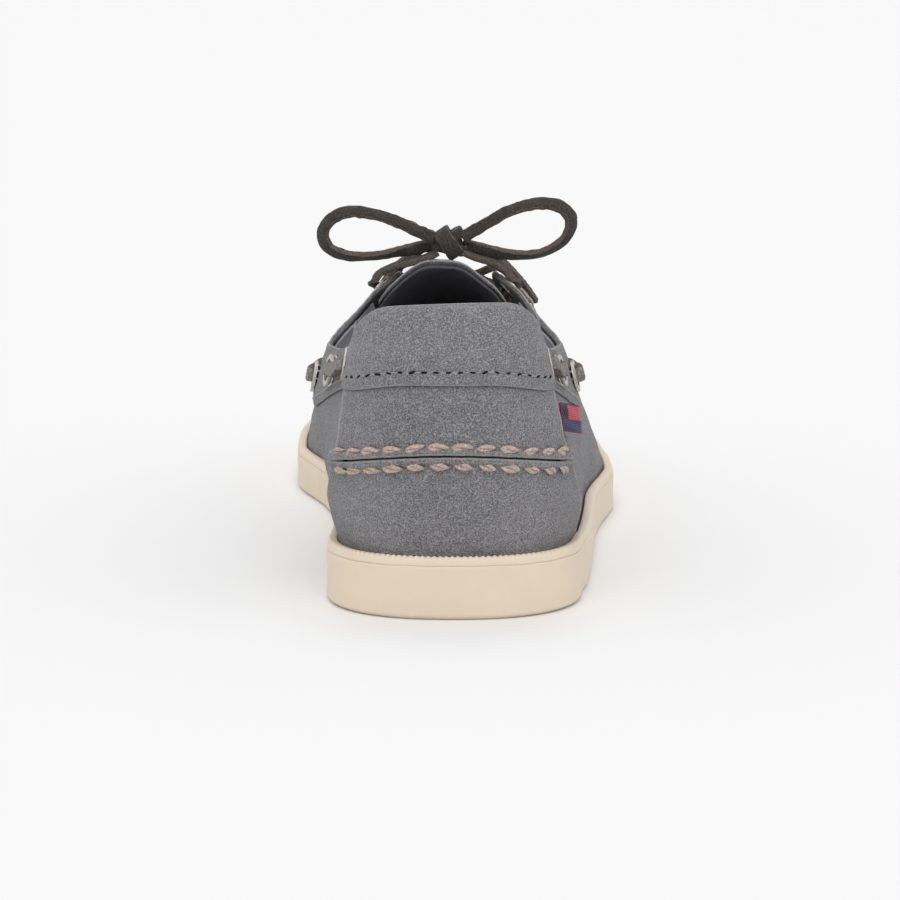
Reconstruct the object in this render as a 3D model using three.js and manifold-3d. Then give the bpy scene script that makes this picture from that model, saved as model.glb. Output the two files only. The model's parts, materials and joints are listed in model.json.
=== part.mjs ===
// Right-foot deck shoe, hand sewn, with a leather thong through its collar.
// Millimetres. +Y points to the toe, +X to the outer side, +Z up, sole on z = 0.
import * as THREE from 'three';
import * as BufferGeometryUtils from 'three/addons/utils/BufferGeometryUtils.js';
import Module from 'manifold-3d';

// ---- driving dimensions -------------------------------------------------------------
const SOLE_LENGTH = 298;
const SOLE_WIDTH_GAIN = 1.0; // widens or narrows the whole sole and what stands on it
const WALL_HEEL = 15.2; // sole side wall, at the heel
const WALL_FRONT = 11.5; // sole side wall, at the ball
const RIM_RISE = 2.3; // sloped rim above the wall
const RIM_WIDTH = 3.0; // rim, outside to recess
const RIM_SLOPE = 0.8;
const SOLE_BEVEL = 0.8;
const SOLE_FLOOR = 9.0; // recess floor above the ground
const TOE_SPRING = 8;
const TOE_SPRING_START = 215;
const BOARD = 2.0; // insole board
const FOOTBED = 3.6;
const LEATHER = 1.6; // outer suede
const LINING = 1.0;
const STIFFENER = 1.6;
const LACE_WIDTH = 3.6;
const LACE_THICK = 2.0;
const GAP = 0.3; // between pieces that touch
const TUNNEL = LACE_THICK + 1.4; // room for the thong behind the leather
const COLLAR_HEIGHT = 87.7; // top of the heel collar
const BAND_HEIGHT = 22; // folded collar band at the back
const RIDGE_Z = 46; // sewn ridge round the heel
const RIDGE_RISE = 1.5;
const TONGUE_THICK = 3.0;
const TONGUE_TIP_Y = 104;
const TONGUE_BASE_Y = 164;
const TONGUE_WIDTH = 42;
const APRON_BACK_Y = 161;
const EYELET_BORE = 3.4; // radius
const EYELET_FLANGE = 0.9;
const EYELET_LIP = 0.5;
const EYELET_RAISE = 0.45; // flange clear of the curved leather
const LABEL = { length: 9, height: 8, thick: 0.9, lift: 0.42 }; // lift in radians
const THREAD = 1.1;
const FINE_THREAD = 0.6;

const UPPER_INSET = RIM_WIDTH + 0.5;
const HALF = SOLE_LENGTH / 2;
const BOARD_TOP = SOLE_FLOOR + GAP + BOARD;
const SKIRT_Z = BOARD_TOP + GAP; // lower edge of the upper, inside the rim
const SKIRT_T = 0.08;
const LINING_OUT = LEATHER + TUNNEL;

// ---- small maths --------------------------------------------------------------------
const lerp = (a, b, f) => a + (b - a) * f;
const clamp = (v, lo, hi) => Math.min(hi, Math.max(lo, v));
const smooth = (lo, hi, v) => {
  const f = clamp((v - lo) / (hi - lo), 0, 1);
  return f * f * (3 - 2 * f);
};

// Smooth curve through a few [position, value] points, with no overshoot.
function curve(points) {
  const n = points.length;
  const step = points.slice(1).map((p, i) => p[0] - points[i][0]);
  const slope = step.map((h, i) => (points[i + 1][1] - points[i][1]) / h);
  const tangent = points.map((_, i) => {
    if (i === 0) return slope[0];
    if (i === n - 1) return slope[n - 2];
    if (slope[i - 1] * slope[i] <= 0) return 0;
    const [h0, h1] = [step[i - 1], step[i]];
    return (3 * (h0 + h1)) / ((2 * h1 + h0) / slope[i - 1] + (h1 + 2 * h0) / slope[i]);
  });
  return (x) => {
    const at = clamp(x, points[0][0], points[n - 1][0]);
    let i = 0;
    while (i < n - 2 && at > points[i + 1][0]) i += 1;
    const f = (at - points[i][0]) / step[i];
    const [f2, f3] = [f * f, f * f * f];
    return (
      (2 * f3 - 3 * f2 + 1) * points[i][1] +
      (f3 - 2 * f2 + f) * step[i] * tangent[i] +
      (3 * f2 - 2 * f3) * points[i + 1][1] +
      (f3 - f2) * step[i] * tangent[i + 1]
    );
  };
}

// How far a half width is pulled in as an outline rounds its heel and toe.
function rounding(y, start, end, heelLength, heelPower, toeLength, toePower) {
  const heel = clamp(1 - (y - start) / heelLength, 0, 1);
  const toe = clamp((y - (end - toeLength)) / toeLength, 0, 1);
  return (
    Math.pow(1 - Math.pow(heel, heelPower), 1 / heelPower) *
    Math.pow(1 - Math.pow(toe, toePower), 1 / toePower)
  );
}

// ---- outlines and heights, all by distance d from the back of the heel --------------------
const AT = (d) => (d * SOLE_LENGTH) / 298; // stations move with the sole's length
const stations = (points) => curve(points.map(([d, v]) => [AT(d), v]));
const across = (points) => stations(points.map(([d, v]) => [d, v * SOLE_WIDTH_GAIN]));

const soleHalf = {
  medial: across([[0, 35.8], [33, 35.8], [62, 35], [100, 35.2], [134, 36.6], [152, 38.2],
    [168, 41], [182, 44.8], [193, 48], [207, 50.3], [235, 50.4], [262, 49], [298, 46]]),
  lateral: across([[0, 36.4], [33, 37.2], [46, 39.2], [67, 41.1], [92, 42.8], [115, 44.2],
    [136, 47], [152, 50.2], [168, 52.6], [184, 52.8], [205, 51.6], [235, 50.5], [262, 49], [298, 45]]),
};
const topHalf = {
  medial: across([[8, 26.5], [27, 27], [60, 33], [80, 36], [100, 30.5], [115, 24], [128, 16.5],
    [140, 15.5], [150, 17], [160, 21], [178, 28], [205, 33], [232, 33.5], [268, 33]]),
  lateral: across([[8, 25.5], [27, 25.8], [60, 31], [80, 33], [100, 26.5], [115, 20.8], [128, 13.5],
    [140, 13.5], [150, 16], [160, 21], [178, 25.5], [205, 31], [232, 33], [268, 30]]),
};
const topHeight = stations([[8, COLLAR_HEIGHT], [13, COLLAR_HEIGHT - 1], [19, COLLAR_HEIGHT - 4],
  [28, COLLAR_HEIGHT - 10.2], [40, 71.5], [60, 67.6], [80, 66.6], [100, 71.5], [115, 77.5],
  [128, 82], [140, 79.5], [150, 75.5], [160, 69.5], [180, 56], [205, 48], [232, 42], [268, 36]]);
const wallTop = stations([[0, WALL_HEEL], [60, WALL_HEEL - 1.2], [150, WALL_FRONT], [298, WALL_FRONT]]);
const floorDrop = stations([[0, 0], [60, 0], [150, 2.5], [298, 2.5]]);
const spring = (d) => {
  const f = clamp((d - AT(TOE_SPRING_START)) / (SOLE_LENGTH - AT(TOE_SPRING_START)), 0, 1);
  return TOE_SPRING * f * f;
};
const axisX = across([[0, 0], [120, 0], [200, -1], [250, -3], [298, -7]]);

// Where the side of the upper bulges past a straight line, low and high.
const bulgeLow = {
  medial: across([[0, 6], [30, 6], [60, 8], [90, 9], [130, 7], [165, 5], [200, -2.5], [298, 3]]),
  lateral: across([[0, 6], [30, 6], [60, 3], [90, -1.2], [150, -2.5], [200, -6], [298, 3]]),
};
const bulgeHigh = {
  medial: across([[0, 6], [30, 2.5], [60, 6], [90, 8], [130, 13], [160, 12], [200, 11], [298, 7]]),
  lateral: across([[0, 6], [30, 2.5], [60, 4.3], [90, 8], [130, 11.5], [160, 13], [200, 8], [298, 7]]),
};
const handleLow = stations([[0, 0.33], [120, 0.33], [200, 0.2], [298, 0.5]]);
const handleHigh = stations([[0, 0.33], [100, 0.33], [140, 0.22], [180, 0.06], [298, 0.06]]);

const shareOf = (u) => (1 - Math.cos(Math.PI * u)) / 2;
const paramOf = (share) => Math.acos(1 - 2 * clamp(share, 0, 1)) / Math.PI;

// s runs 0 at the back of the heel to 1 at the toe on the outer side, and to -1 on the inner.
function sideOf(s) {
  const wrapped = s - 2 * Math.round(s / 2);
  return { u: Math.abs(wrapped), sign: wrapped < 0 ? -1 : 1, key: wrapped < 0 ? 'medial' : 'lateral' };
}

function solePoint(s, inset, z) {
  const { u, sign, key } = sideOf(s);
  const d = lerp(inset, SOLE_LENGTH - inset, shareOf(u));
  const pull = rounding(d, inset, SOLE_LENGTH - inset, AT(34), 2.35, AT(84), 2.4);
  const x = axisX(d) + sign * (soleHalf[key](d) - inset) * pull;
  return new THREE.Vector3(x, d - HALF, z(d) + spring(d));
}

const TOP_BACK = AT(8);
const TOP_FRONT = AT(268);
function topPoint(s) {
  const { u, sign, key } = sideOf(s);
  const d = lerp(TOP_BACK, TOP_FRONT, shareOf(u));
  const pull = rounding(d, TOP_BACK, TOP_FRONT, AT(22), 2.5, AT(66), 2.4);
  const lean = -0.9 * (1 - smooth(AT(60), AT(120), d));
  const x = axisX(d) * 1.3 + lean + sign * topHalf[key](d) * pull;
  return new THREE.Vector3(x, d - HALF, topHeight(d));
}
const sAtTop = (d) => paramOf((AT(d) - TOP_BACK) / (TOP_FRONT - TOP_BACK));

const rimTop = (d) => wallTop(d) + RIM_RISE;
const featherPoint = (s) => solePoint(s, UPPER_INSET, (d) => rimTop(d) + 2 * GAP);
const skirtDrop = (d) => rimTop(d) + 2 * GAP - (SKIRT_Z - floorDrop(d));

// Outside of the upper: t runs 0 at the rim to 1 at the collar edge or the apron seam,
// and from 0 down to -SKIRT_T on the straight skirt that stands inside the rim.
function skin(s, t) {
  const low = featherPoint(s);
  const high = topPoint(s);
  const { key } = sideOf(s);
  const d = low.y + HALF;
  if (t < 0) return low.setZ(low.z + (t / SKIRT_T) * skirtDrop(d));
  const along = featherPoint(s + 0.002).sub(featherPoint(s - 0.002));
  const out = new THREE.Vector3(along.y, -along.x, 0).normalize();
  const rise = high.z - low.z;
  const p1 = low.clone().addScaledVector(out, bulgeLow[key](d));
  p1.z += rise * handleLow(d);
  const p2 = high.clone().addScaledVector(out, bulgeHigh[key](d));
  p2.z -= rise * handleHigh(d);
  const r = 1 - t;
  return low.multiplyScalar(r * r * r)
    .addScaledVector(p1, 3 * r * r * t)
    .addScaledVector(p2, 3 * r * t * t)
    .addScaledVector(high, t * t * t);
}

function skinNormal(s, t) {
  const e = 0.004;
  if (t < 0) {
    const along = featherPoint(s + e).sub(featherPoint(s - e));
    return new THREE.Vector3(along.y, -along.x, 0).normalize();
  }
  const t0 = clamp(t, e, 1 - e);
  const ds = skin(s + e, t0).sub(skin(s - e, t0));
  const dt = skin(s, t0 + e).sub(skin(s, t0 - e));
  return ds.cross(dt).normalize();
}

// A point a given depth under the outside of the upper; a negative depth stands proud.
const under = (s, t, depth) => skin(s, t).addScaledVector(skinNormal(s, t), -depth);

// ---- solids ---------------------------------------------------------------------------
function solidFrom(vertices, triangles) {
  const geometry = new THREE.BufferGeometry();
  geometry.setAttribute('position', new THREE.Float32BufferAttribute(vertices.flatMap((v) => [v.x, v.y, v.z]), 3));
  let volume = 0;
  for (const [a, b, c] of triangles) {
    volume += vertices[a].dot(vertices[b].clone().cross(vertices[c]));
  }
  geometry.setIndex(triangles.flatMap((t) => (volume > 0 ? t : [t[0], t[2], t[1]])));
  return dropSlivers(geometry);
}

// Merges points that meet and drops the triangles that this flattens.
function dropSlivers(geometry) {
  const merged = BufferGeometryUtils.mergeVertices(geometry, 1e-4);
  const index = merged.getIndex().array;
  const kept = [];
  for (let i = 0; i < index.length; i += 3) {
    const [a, b, c] = [index[i], index[i + 1], index[i + 2]];
    if (a !== b && b !== c && a !== c) kept.push(a, b, c);
  }
  merged.setIndex(kept);
  return merged;
}

// Closed wall between an outer and an inner grid of points.
function wall(outer, inner, columns, rows) {
  const vertices = [];
  for (const face of [outer, inner]) {
    for (let i = 0; i <= columns; i += 1) {
      for (let j = 0; j <= rows; j += 1) vertices.push(face(i / columns, j / rows));
    }
  }
  const size = (columns + 1) * (rows + 1);
  const at = (side, i, j) => side * size + i * (rows + 1) + j;
  const triangles = [];
  const quad = (a, b, c, d) => triangles.push([a, b, c], [a, c, d]);
  for (let i = 0; i < columns; i += 1) {
    for (let j = 0; j < rows; j += 1) {
      quad(at(0, i, j), at(0, i + 1, j), at(0, i + 1, j + 1), at(0, i, j + 1));
      quad(at(1, i, j), at(1, i, j + 1), at(1, i + 1, j + 1), at(1, i + 1, j));
    }
    quad(at(0, i, 0), at(1, i, 0), at(1, i + 1, 0), at(0, i + 1, 0));
    quad(at(0, i, rows), at(0, i + 1, rows), at(1, i + 1, rows), at(1, i, rows));
  }
  for (let j = 0; j < rows; j += 1) {
    quad(at(0, 0, j), at(0, 0, j + 1), at(1, 0, j + 1), at(1, 0, j));
    quad(at(0, columns, j), at(1, columns, j), at(1, columns, j + 1), at(0, columns, j + 1));
  }
  return solidFrom(vertices, triangles);
}

// Stack of closed outlines, capped across from the inner side to the outer side.
const OUTLINE = 32; // steps along each side
function stack(rings) {
  const count = OUTLINE * 2;
  const vertices = rings.flatMap((ring) => Array.from({ length: count }, (_, i) => ring(i / OUTLINE)));
  const triangles = [];
  const last = (rings.length - 1) * count;
  for (let r = 0; r < rings.length - 1; r += 1) {
    for (let i = 0; i < count; i += 1) {
      const [a, b] = [r * count + i, r * count + ((i + 1) % count)];
      triangles.push([a, b, b + count], [a, b + count, a + count]);
    }
  }
  for (let i = 0; i < OUTLINE; i += 1) {
    const [a, b] = [i, i + 1];
    const [c, d] = [(count - i) % count, (count - i - 1) % count];
    if (a !== c) triangles.push([a, c, b], [last + a, last + b, last + c]);
    if (b !== d) triangles.push([c, d, b], [last + c, last + b, last + d]);
  }
  return solidFrom(vertices, triangles);
}

// Flat strap or cord along a list of {point, normal}, with a section given as [across, up] points.
function strap(path, section) {
  const vertices = [];
  path.forEach(({ point, normal }, i) => {
    const ahead = path[Math.min(i + 1, path.length - 1)].point;
    const behind = path[Math.max(i - 1, 0)].point;
    const along = ahead.clone().sub(behind).normalize();
    const up = normal.clone().addScaledVector(along, -normal.dot(along)).normalize();
    const side = along.clone().cross(up);
    for (const [a, b] of section) {
      vertices.push(point.clone().addScaledVector(side, a).addScaledVector(up, b));
    }
  });
  const n = section.length;
  const triangles = [];
  for (let i = 0; i < path.length - 1; i += 1) {
    for (let k = 0; k < n; k += 1) {
      const [a, b] = [i * n + k, i * n + ((k + 1) % n)];
      triangles.push([a, b, b + n], [a, b + n, a + n]);
    }
  }
  const last = (path.length - 1) * n;
  for (let k = 1; k < n - 1; k += 1) {
    triangles.push([0, k + 1, k], [last, last + k, last + k + 1]);
  }
  return solidFrom(vertices, triangles);
}

const rectangle = (w, h) => [[-w / 2, -h / 2], [w / 2, -h / 2], [w / 2, h / 2], [-w / 2, h / 2]];
const roundSection = (d, sides) => Array.from({ length: sides }, (_, k) => {
  const angle = (2 * Math.PI * k) / sides;
  return [(d / 2) * Math.cos(angle), (d / 2) * Math.sin(angle)];
});

const wasm = await Module();
wasm.setup();
function toManifold(geometry) {
  const bare = geometry.clone();
  bare.deleteAttribute('normal');
  bare.deleteAttribute('uv');
  const merged = BufferGeometryUtils.mergeVertices(bare, 1e-4);
  return new wasm.Manifold(new wasm.Mesh({
    numProp: 3,
    vertProperties: new Float32Array(merged.getAttribute('position').array),
    triVerts: new Uint32Array(merged.getIndex().array),
  }));
}

function cutAway(geometry, cutters) {
  let solid = toManifold(geometry);
  for (const cutter of cutters) solid = solid.subtract(toManifold(cutter));
  const mesh = solid.getMesh();
  const result = new THREE.BufferGeometry();
  result.setAttribute('position', new THREE.Float32BufferAttribute(mesh.vertProperties, 3));
  result.setIndex(Array.from(mesh.triVerts));
  return result;
}

// A geometry made along +Z, turned to a spot on the upper with +Z pointing out of the skin.
function placeOnSkin(geometry, spot, depth) {
  const normal = skinNormal(spot.s, spot.t);
  const turn = new THREE.Quaternion().setFromUnitVectors(new THREE.Vector3(0, 0, 1), normal);
  const at = under(spot.s, spot.t, depth);
  return geometry.applyQuaternion(turn).translate(at.x, at.y, at.z);
}

// ---- finishes -------------------------------------------------------------------------
const finish = {
  suede: { color: 0x808084, roughness: 0.95 },
  lining: { color: 0x2c2c31, roughness: 0.85 },
  board: { color: 0x8a7f70, roughness: 0.9 },
  rubber: { color: 0xe5d6c3, roughness: 0.6 },
  thong: { color: 0x4a4642, roughness: 0.75 },
  thread: { color: 0xc2a58f, roughness: 0.7 },
  fineThread: { color: 0xb9b4ae, roughness: 0.8 },
  eyelet: { color: 0x3a3a3c, roughness: 0.4, metalness: 0.9 },
  red: { color: 0xa93a48, roughness: 0.9 },
};
const shoe = new THREE.Group();
function add(name, geometry, look) {
  const mesh = new THREE.Mesh(geometry, new THREE.MeshStandardMaterial(finish[look]));
  mesh.name = name;
  shoe.add(mesh);
}

// ---- sole unit --------------------------------------------------------------------------
function outsole() {
  const ring = (inset, z) => (s) => solePoint(s, inset, z);
  return stack([
    ring(SOLE_BEVEL, () => 0),
    ring(0, () => SOLE_BEVEL),
    ring(0, wallTop),
    ring(RIM_SLOPE, (d) => wallTop(d) + RIM_RISE),
    ring(RIM_WIDTH, (d) => wallTop(d) + RIM_RISE),
    ring(RIM_WIDTH, (d) => SOLE_FLOOR - floorDrop(d)),
  ]);
}

function slab(inset, bottom, thickness) {
  const level = (rise) => (d) => bottom + rise - floorDrop(d);
  return stack([
    (s) => solePoint(s, inset, level(0)),
    (s) => solePoint(s, inset, level(thickness)),
  ]);
}

add('outsole', outsole(), 'rubber');
add('insole_board', slab(RIM_WIDTH + GAP, SOLE_FLOOR + GAP, BOARD), 'board');
const FOOTBED_INSET = UPPER_INSET + LINING_OUT + LINING + 3.2;
add('footbed', slab(FOOTBED_INSET, BOARD_TOP + GAP, FOOTBED), 'lining');

// ---- seam lines on the upper --------------------------------------------------------------
const SEAM_S = 0.232; // side seam at the sole
const SEAM_TOP_S = 0.15; // side seam from the ridge up to the collar
const FRONT_S = sAtTop(152); // quarter meets vamp
const HALF_GAP_S = 0.0026;
const seamS = (t) => lerp(SEAM_S, SEAM_TOP_S, smooth(0.1, 0.5, t));
// height as a share of a column, for a level at the heel
const shareAtZ = (s, z) => {
  let [lo, hi] = [0, 1];
  for (let i = 0; i < 30; i += 1) {
    const mid = (lo + hi) / 2;
    if (skin(s, mid).z < z) lo = mid;
    else hi = mid;
  }
  return (lo + hi) / 2;
};
const ridgeZ = (s) => RIDGE_Z - 4 * smooth(0, SEAM_TOP_S + 0.02, Math.abs(s));
const bandZ = (s) => COLLAR_HEIGHT - BAND_HEIGHT - 3.4 * smooth(0.03, SEAM_TOP_S, Math.abs(s));
const sideBandZ = stations([[28, 61.5], [40, 58.5], [50, 56], [65, 51], [85, 46.5], [100, 47.5],
  [120, 52], [140, 56], [152, 57]]);
const sideBandT = (s) => shareAtZ(s, sideBandZ(topPoint(s).y + HALF));
const ridgeT = (s) => shareAtZ(s, ridgeZ(s));
const bandT = (s) => shareAtZ(s, bandZ(s));

// Piece of the upper between two boundaries, at a depth range under the skin.
// A piece that starts on the skirt has its first row of faces there.
function panel({ s0, s1, t0, t1, out, inner, columns, rows }) {
  const at = (a, b, depth) => {
    const rough = lerp(s0(0.5), s1(0.5), a);
    const [low, high] = [t0(rough), t1(rough)];
    const f = (b * rows - 1) / (rows - 1);
    const onSkirt = low < 0 ? lerp(0, low, -f * (rows - 1)) : 0;
    const t = low < 0 ? (f < 0 ? onSkirt : lerp(0, high, f)) : lerp(low, high, b);
    const s = lerp(s0(t), s1(t), a);
    return under(s, t, depth(s, t));
  };
  return wall((a, b) => at(a, b, out), (a, b) => at(a, b, inner), columns, rows);
}
const fixed = (v) => () => v;
const GAP_T = 0.005;

// ---- heel ---------------------------------------------------------------------------------
const nearRidge = (s, t) => 1 - smooth(0, 0.05, Math.abs(t - ridgeT(s)));
const heelSides = {
  s0: (t) => -seamS(t) + HALF_GAP_S,
  s1: (t) => seamS(t) - HALF_GAP_S,
};
add('heel_panel', panel({
  ...heelSides, t0: fixed(-SKIRT_T), t1: (s) => ridgeT(s) - GAP_T,
  out: (s, t) => -RIDGE_RISE * nearRidge(s, t), inner: fixed(LEATHER), columns: 18, rows: 13,
}), 'suede');
add('heel_upper_panel', panel({
  ...heelSides, t0: (s) => ridgeT(s) + GAP_T, t1: (s) => bandT(s) - GAP_T,
  out: (s, t) => -RIDGE_RISE * nearRidge(s, t), inner: fixed(LEATHER), columns: 18, rows: 5,
}), 'suede');

// ---- eyelets ------------------------------------------------------------------------------
const LACE_BACK_Z = 73.2;
const LACE_EXIT_Z = 70.3;
const mmS = (s, t, mm) => (mm * 0.002) / skin(s + 0.001, t).distanceTo(skin(s - 0.001, t));
const exitSpot = (side) => {
  const s = side * (SEAM_TOP_S + 0.004);
  const t = shareAtZ(s, LACE_EXIT_Z);
  return { s: s + side * mmS(s, t, 4.9), t };
};
const spotAt = (side, share, z) => {
  const s = side * share;
  return { s, t: shareAtZ(s, z) };
};
const eyeletSpots = (side) => ({
  heel: exitSpot(side),
  rear: spotAt(side, sAtTop(55), 61.6),
  middle: spotAt(side, sAtTop(79), 56.3),
  side: spotAt(side, sAtTop(98), 57),
  lower: { s: side * sAtTop(143), t: 0.9 },
  upper: { s: side * sAtTop(124.5), t: 0.9 },
});
const HOLE = EYELET_BORE + EYELET_LIP + GAP;
const holeCutter = (spot) => placeOnSkin(
  new THREE.CylinderGeometry(HOLE, HOLE, LEATHER * 4, 12).rotateX(Math.PI / 2), spot, LEATHER / 2);

function eyelet(spot) {
  const top = GAP + EYELET_LIP;
  const outline = [
    [EYELET_BORE, -LEATHER - GAP], [EYELET_BORE + EYELET_LIP, -LEATHER - GAP],
    [EYELET_BORE + EYELET_LIP, GAP], [EYELET_BORE + EYELET_LIP + EYELET_FLANGE, GAP],
    [EYELET_BORE + EYELET_LIP + EYELET_FLANGE, top], [EYELET_BORE, top], [EYELET_BORE, -LEATHER - GAP],
  ].map(([r, z]) => new THREE.Vector2(r, z));
  const ring = new THREE.LatheGeometry(outline, 10).rotateX(Math.PI / 2);
  ring.deleteAttribute('normal');
  ring.deleteAttribute('uv');
  return dropSlivers(placeOnSkin(ring, spot, -EYELET_RAISE));
}

// ---- quarters -------------------------------------------------------------------------------
const SIDES = [['medial', -1], ['lateral', 1]];
const spots = Object.fromEntries(SIDES.map(([name, side]) => [name, eyeletSpots(side)]));
const flip = (side, a, b) => (side > 0 ? { s0: a, s1: b } : { s0: (t) => -b(t), s1: (t) => -a(t) });
const pocket = (s, t) => {
  const close = smooth(0.95, 0.985, t) * smooth(0.05, 0.1, Math.abs(s) - SEAM_TOP_S);
  return lerp(LINING_OUT, LEATHER + GAP, close);
};

for (const [name, side] of SIDES) {
  const ends = flip(side, (t) => seamS(t) + HALF_GAP_S, fixed(FRONT_S - HALF_GAP_S));
  add(`quarter_${name}`, panel({
    ...ends, t0: fixed(-SKIRT_T), t1: (s) => sideBandT(s) - GAP_T,
    out: fixed(0), inner: fixed(LEATHER), columns: 20, rows: 16,
  }), 'suede');
  const band = panel({
    ...ends, t0: (s) => sideBandT(s) + GAP_T, t1: fixed(1),
    out: fixed(0), inner: fixed(LEATHER), columns: 24, rows: 5,
  });
  const holes = Object.values(spots[name]).map(holeCutter);
  add(`collar_side_${name}`, cutAway(band, holes), 'suede');
  add(`quarter_lining_${name}`, panel({
    ...flip(side, (t) => seamS(t) + HALF_GAP_S, fixed(sAtTop(112))),
    t0: fixed(-SKIRT_T), t1: fixed(0.985), out: pocket,
    inner: (s, t) => pocket(s, t) + LINING, columns: 18, rows: 16,
  }), 'lining');
  for (const [place, spot] of Object.entries(spots[name])) {
    add(`eyelet_${place}_${name}`, eyelet(spot), 'eyelet');
  }
}

// ---- heel inside --------------------------------------------------------------------------
const BAND_LEAF = LEATHER * 2 + TUNNEL; // outside to inside of the folded band
add('heel_stiffener', panel({
  ...heelSides, t0: fixed(-SKIRT_T), t1: (s) => bandT(s) - 0.02,
  out: fixed(LEATHER + GAP), inner: fixed(LEATHER + GAP + STIFFENER), columns: 18, rows: 14,
}), 'board');
add('heel_lining', panel({
  ...heelSides, t0: fixed(-SKIRT_T), t1: (s) => bandT(s) + 0.03,
  out: fixed(LINING_OUT), inner: fixed(LINING_OUT + LINING), columns: 18, rows: 14,
}), 'lining');

function collarBand() {
  const middle = BAND_LEAF / 2;
  const fold = (depthRadius) => (a, b) => {
    const rough = lerp(-SEAM_TOP_S, SEAM_TOP_S, a);
    const s = rough * (1 - HALF_GAP_S / SEAM_TOP_S);
    const column = skin(s, 1).distanceTo(skin(s, 0.9)) * 10;
    const top = 1 - middle / column;
    if (b < 0.4) return under(s, lerp(bandT(s) + GAP_T, top, b / 0.4), middle - depthRadius);
    if (b > 0.6) return under(s, lerp(top, bandT(s) + 0.05, (b - 0.6) / 0.4), middle + depthRadius);
    const angle = ((b - 0.4) / 0.2) * Math.PI;
    const up = skin(s, top).sub(skin(s, top - 0.02)).normalize();
    return under(s, top, middle - depthRadius * Math.cos(angle))
      .addScaledVector(up, depthRadius * Math.sin(angle));
  };
  return wall(fold(middle), fold(TUNNEL / 2), 18, 15);
}
add('collar_band', collarBand(), 'suede');

// ---- forefoot -----------------------------------------------------------------------------
const nearApron = (t) => smooth(0.86, 0.97, t);
const aroundToe = { s0: fixed(FRONT_S + HALF_GAP_S), s1: fixed(2 - FRONT_S - HALF_GAP_S) };
add('vamp', panel({
  ...aroundToe, t0: fixed(-SKIRT_T), t1: fixed(0.985),
  out: (s, t) => -1.1 * nearApron(t), inner: fixed(LEATHER), columns: 30, rows: 8,
}), 'suede');
add('vamp_lining', panel({
  ...aroundToe, t0: fixed(-SKIRT_T), t1: fixed(0.93),
  out: fixed(LEATHER + GAP), inner: fixed(LEATHER + GAP + LINING), columns: 30, rows: 6,
}), 'lining');

const crown = stations([[161, 7.5], [200, 11], [240, 10], [268, 4]]);
function apronPoint(share, w, rise) {
  const s = lerp(sAtTop(APRON_BACK_Y), 0.994, share);
  const inward = 1.3;
  const [left, right] = [topPoint(-s), topPoint(s)];
  const span = right.clone().sub(left);
  const keep = Math.max(0.3, 1 - (2 * inward) / span.length());
  const point = left.clone().addScaledVector(span, 0.5 + (w - 0.5) * keep);
  const v = 2 * w - 1;
  point.z += crown(point.y + HALF) * (1 - Math.pow(Math.abs(v), 2.2)) + rise;
  return point;
}
add('apron', wall(
  (a, b) => apronPoint(a, b, 1.4), (a, b) => apronPoint(a, b, 1.4 - LEATHER - 0.2), 14, 8,
), 'suede');

// ---- tongue ---------------------------------------------------------------------------------
const tongueZ = stations([[104, 88.4], [110, 87.2], [127, 81.2], [140, 76.4], [150, 72.8], [164, 69.3]]);
const TONGUE_ARCH = 14; // drop from the middle to a point half the tip's width away
const tongueHalf = stations([[104, 0.5], [114, 0.48], [126, 0.36], [164, 0.38]]);
const tongueCentre = stations([[104, -3.4], [125, -2], [164, 0]]);
const tongueHeight = (x, d) => tongueZ(d) - TONGUE_ARCH * ((x - tongueCentre(d)) / (TONGUE_WIDTH / 2)) ** 2;
function tonguePoint(a, b, rise) {
  const v = 2 * b - 1;
  const round = 1 - 0.35 * Math.pow(Math.abs(v), 3);
  const d = lerp(AT(TONGUE_BASE_Y), lerp(AT(TONGUE_BASE_Y), AT(TONGUE_TIP_Y), round), a);
  const x = tongueCentre(d) + v * TONGUE_WIDTH * tongueHalf(d);
  return new THREE.Vector3(x, d - HALF, tongueHeight(x, d) + rise);
}
add('tongue', wall(
  (a, b) => tonguePoint(a, b, 0), (a, b) => tonguePoint(a, b, -TONGUE_THICK), 9, 8,
), 'suede');

// ---- lace -----------------------------------------------------------------------------------
const OUTSIDE = -(EYELET_RAISE + EYELET_LIP + 2 * GAP + LACE_THICK / 2);
const INSIDE = LEATHER + GAP + LACE_THICK / 2;
const onSkin = (s, t, depth) => ({ point: under(s, t, depth), normal: skinNormal(s, t) });

// Through a hole, from one depth to another, going towards the toe.
function hop(spot, side, from, to) {
  const step = side * mmS(spot.s, spot.t, 1);
  return [[-4, from], [-1.75, from], [1.75, to], [4, to]]
    .map(([mm, depth]) => onSkin(spot.s + mm * step, spot.t, depth));
}

function between(a, b, depth, count) {
  return Array.from({ length: count }, (_, i) => {
    const f = (i + 1) / (count + 1);
    return onSkin(lerp(a.s, b.s, f), lerp(a.t, b.t, f), depth);
  });
}

function sideLace(name, side) {
  const spot = spots[name];
  return [
    ...hop(spot.heel, side, INSIDE, OUTSIDE),
    ...between(spot.heel, spot.rear, OUTSIDE, 1),
    ...hop(spot.rear, side, OUTSIDE, INSIDE),
    ...between(spot.rear, spot.middle, INSIDE, 2),
    ...hop(spot.middle, side, INSIDE, OUTSIDE),
    ...between(spot.middle, spot.side, OUTSIDE, 1),
    ...hop(spot.side, side, OUTSIDE, INSIDE),
    ...between(spot.side, spot.lower, INSIDE + GAP, 6),
    ...hop(spot.lower, side, INSIDE, OUTSIDE),
  ];
}

// Where the thong leaves the upper eyelet for the knot, and where it crosses the tongue.
const KNOT = new THREE.Vector3(-1, AT(124) - HALF, 91);
const KNOT_HALF = new THREE.Vector3(5.2, 3.8, 4.1);
const UP = new THREE.Vector3(0, 0, 1);
const free = (x, d, z, normal = UP) => ({ point: new THREE.Vector3(x, AT(d) - HALF, z), normal });

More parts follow.
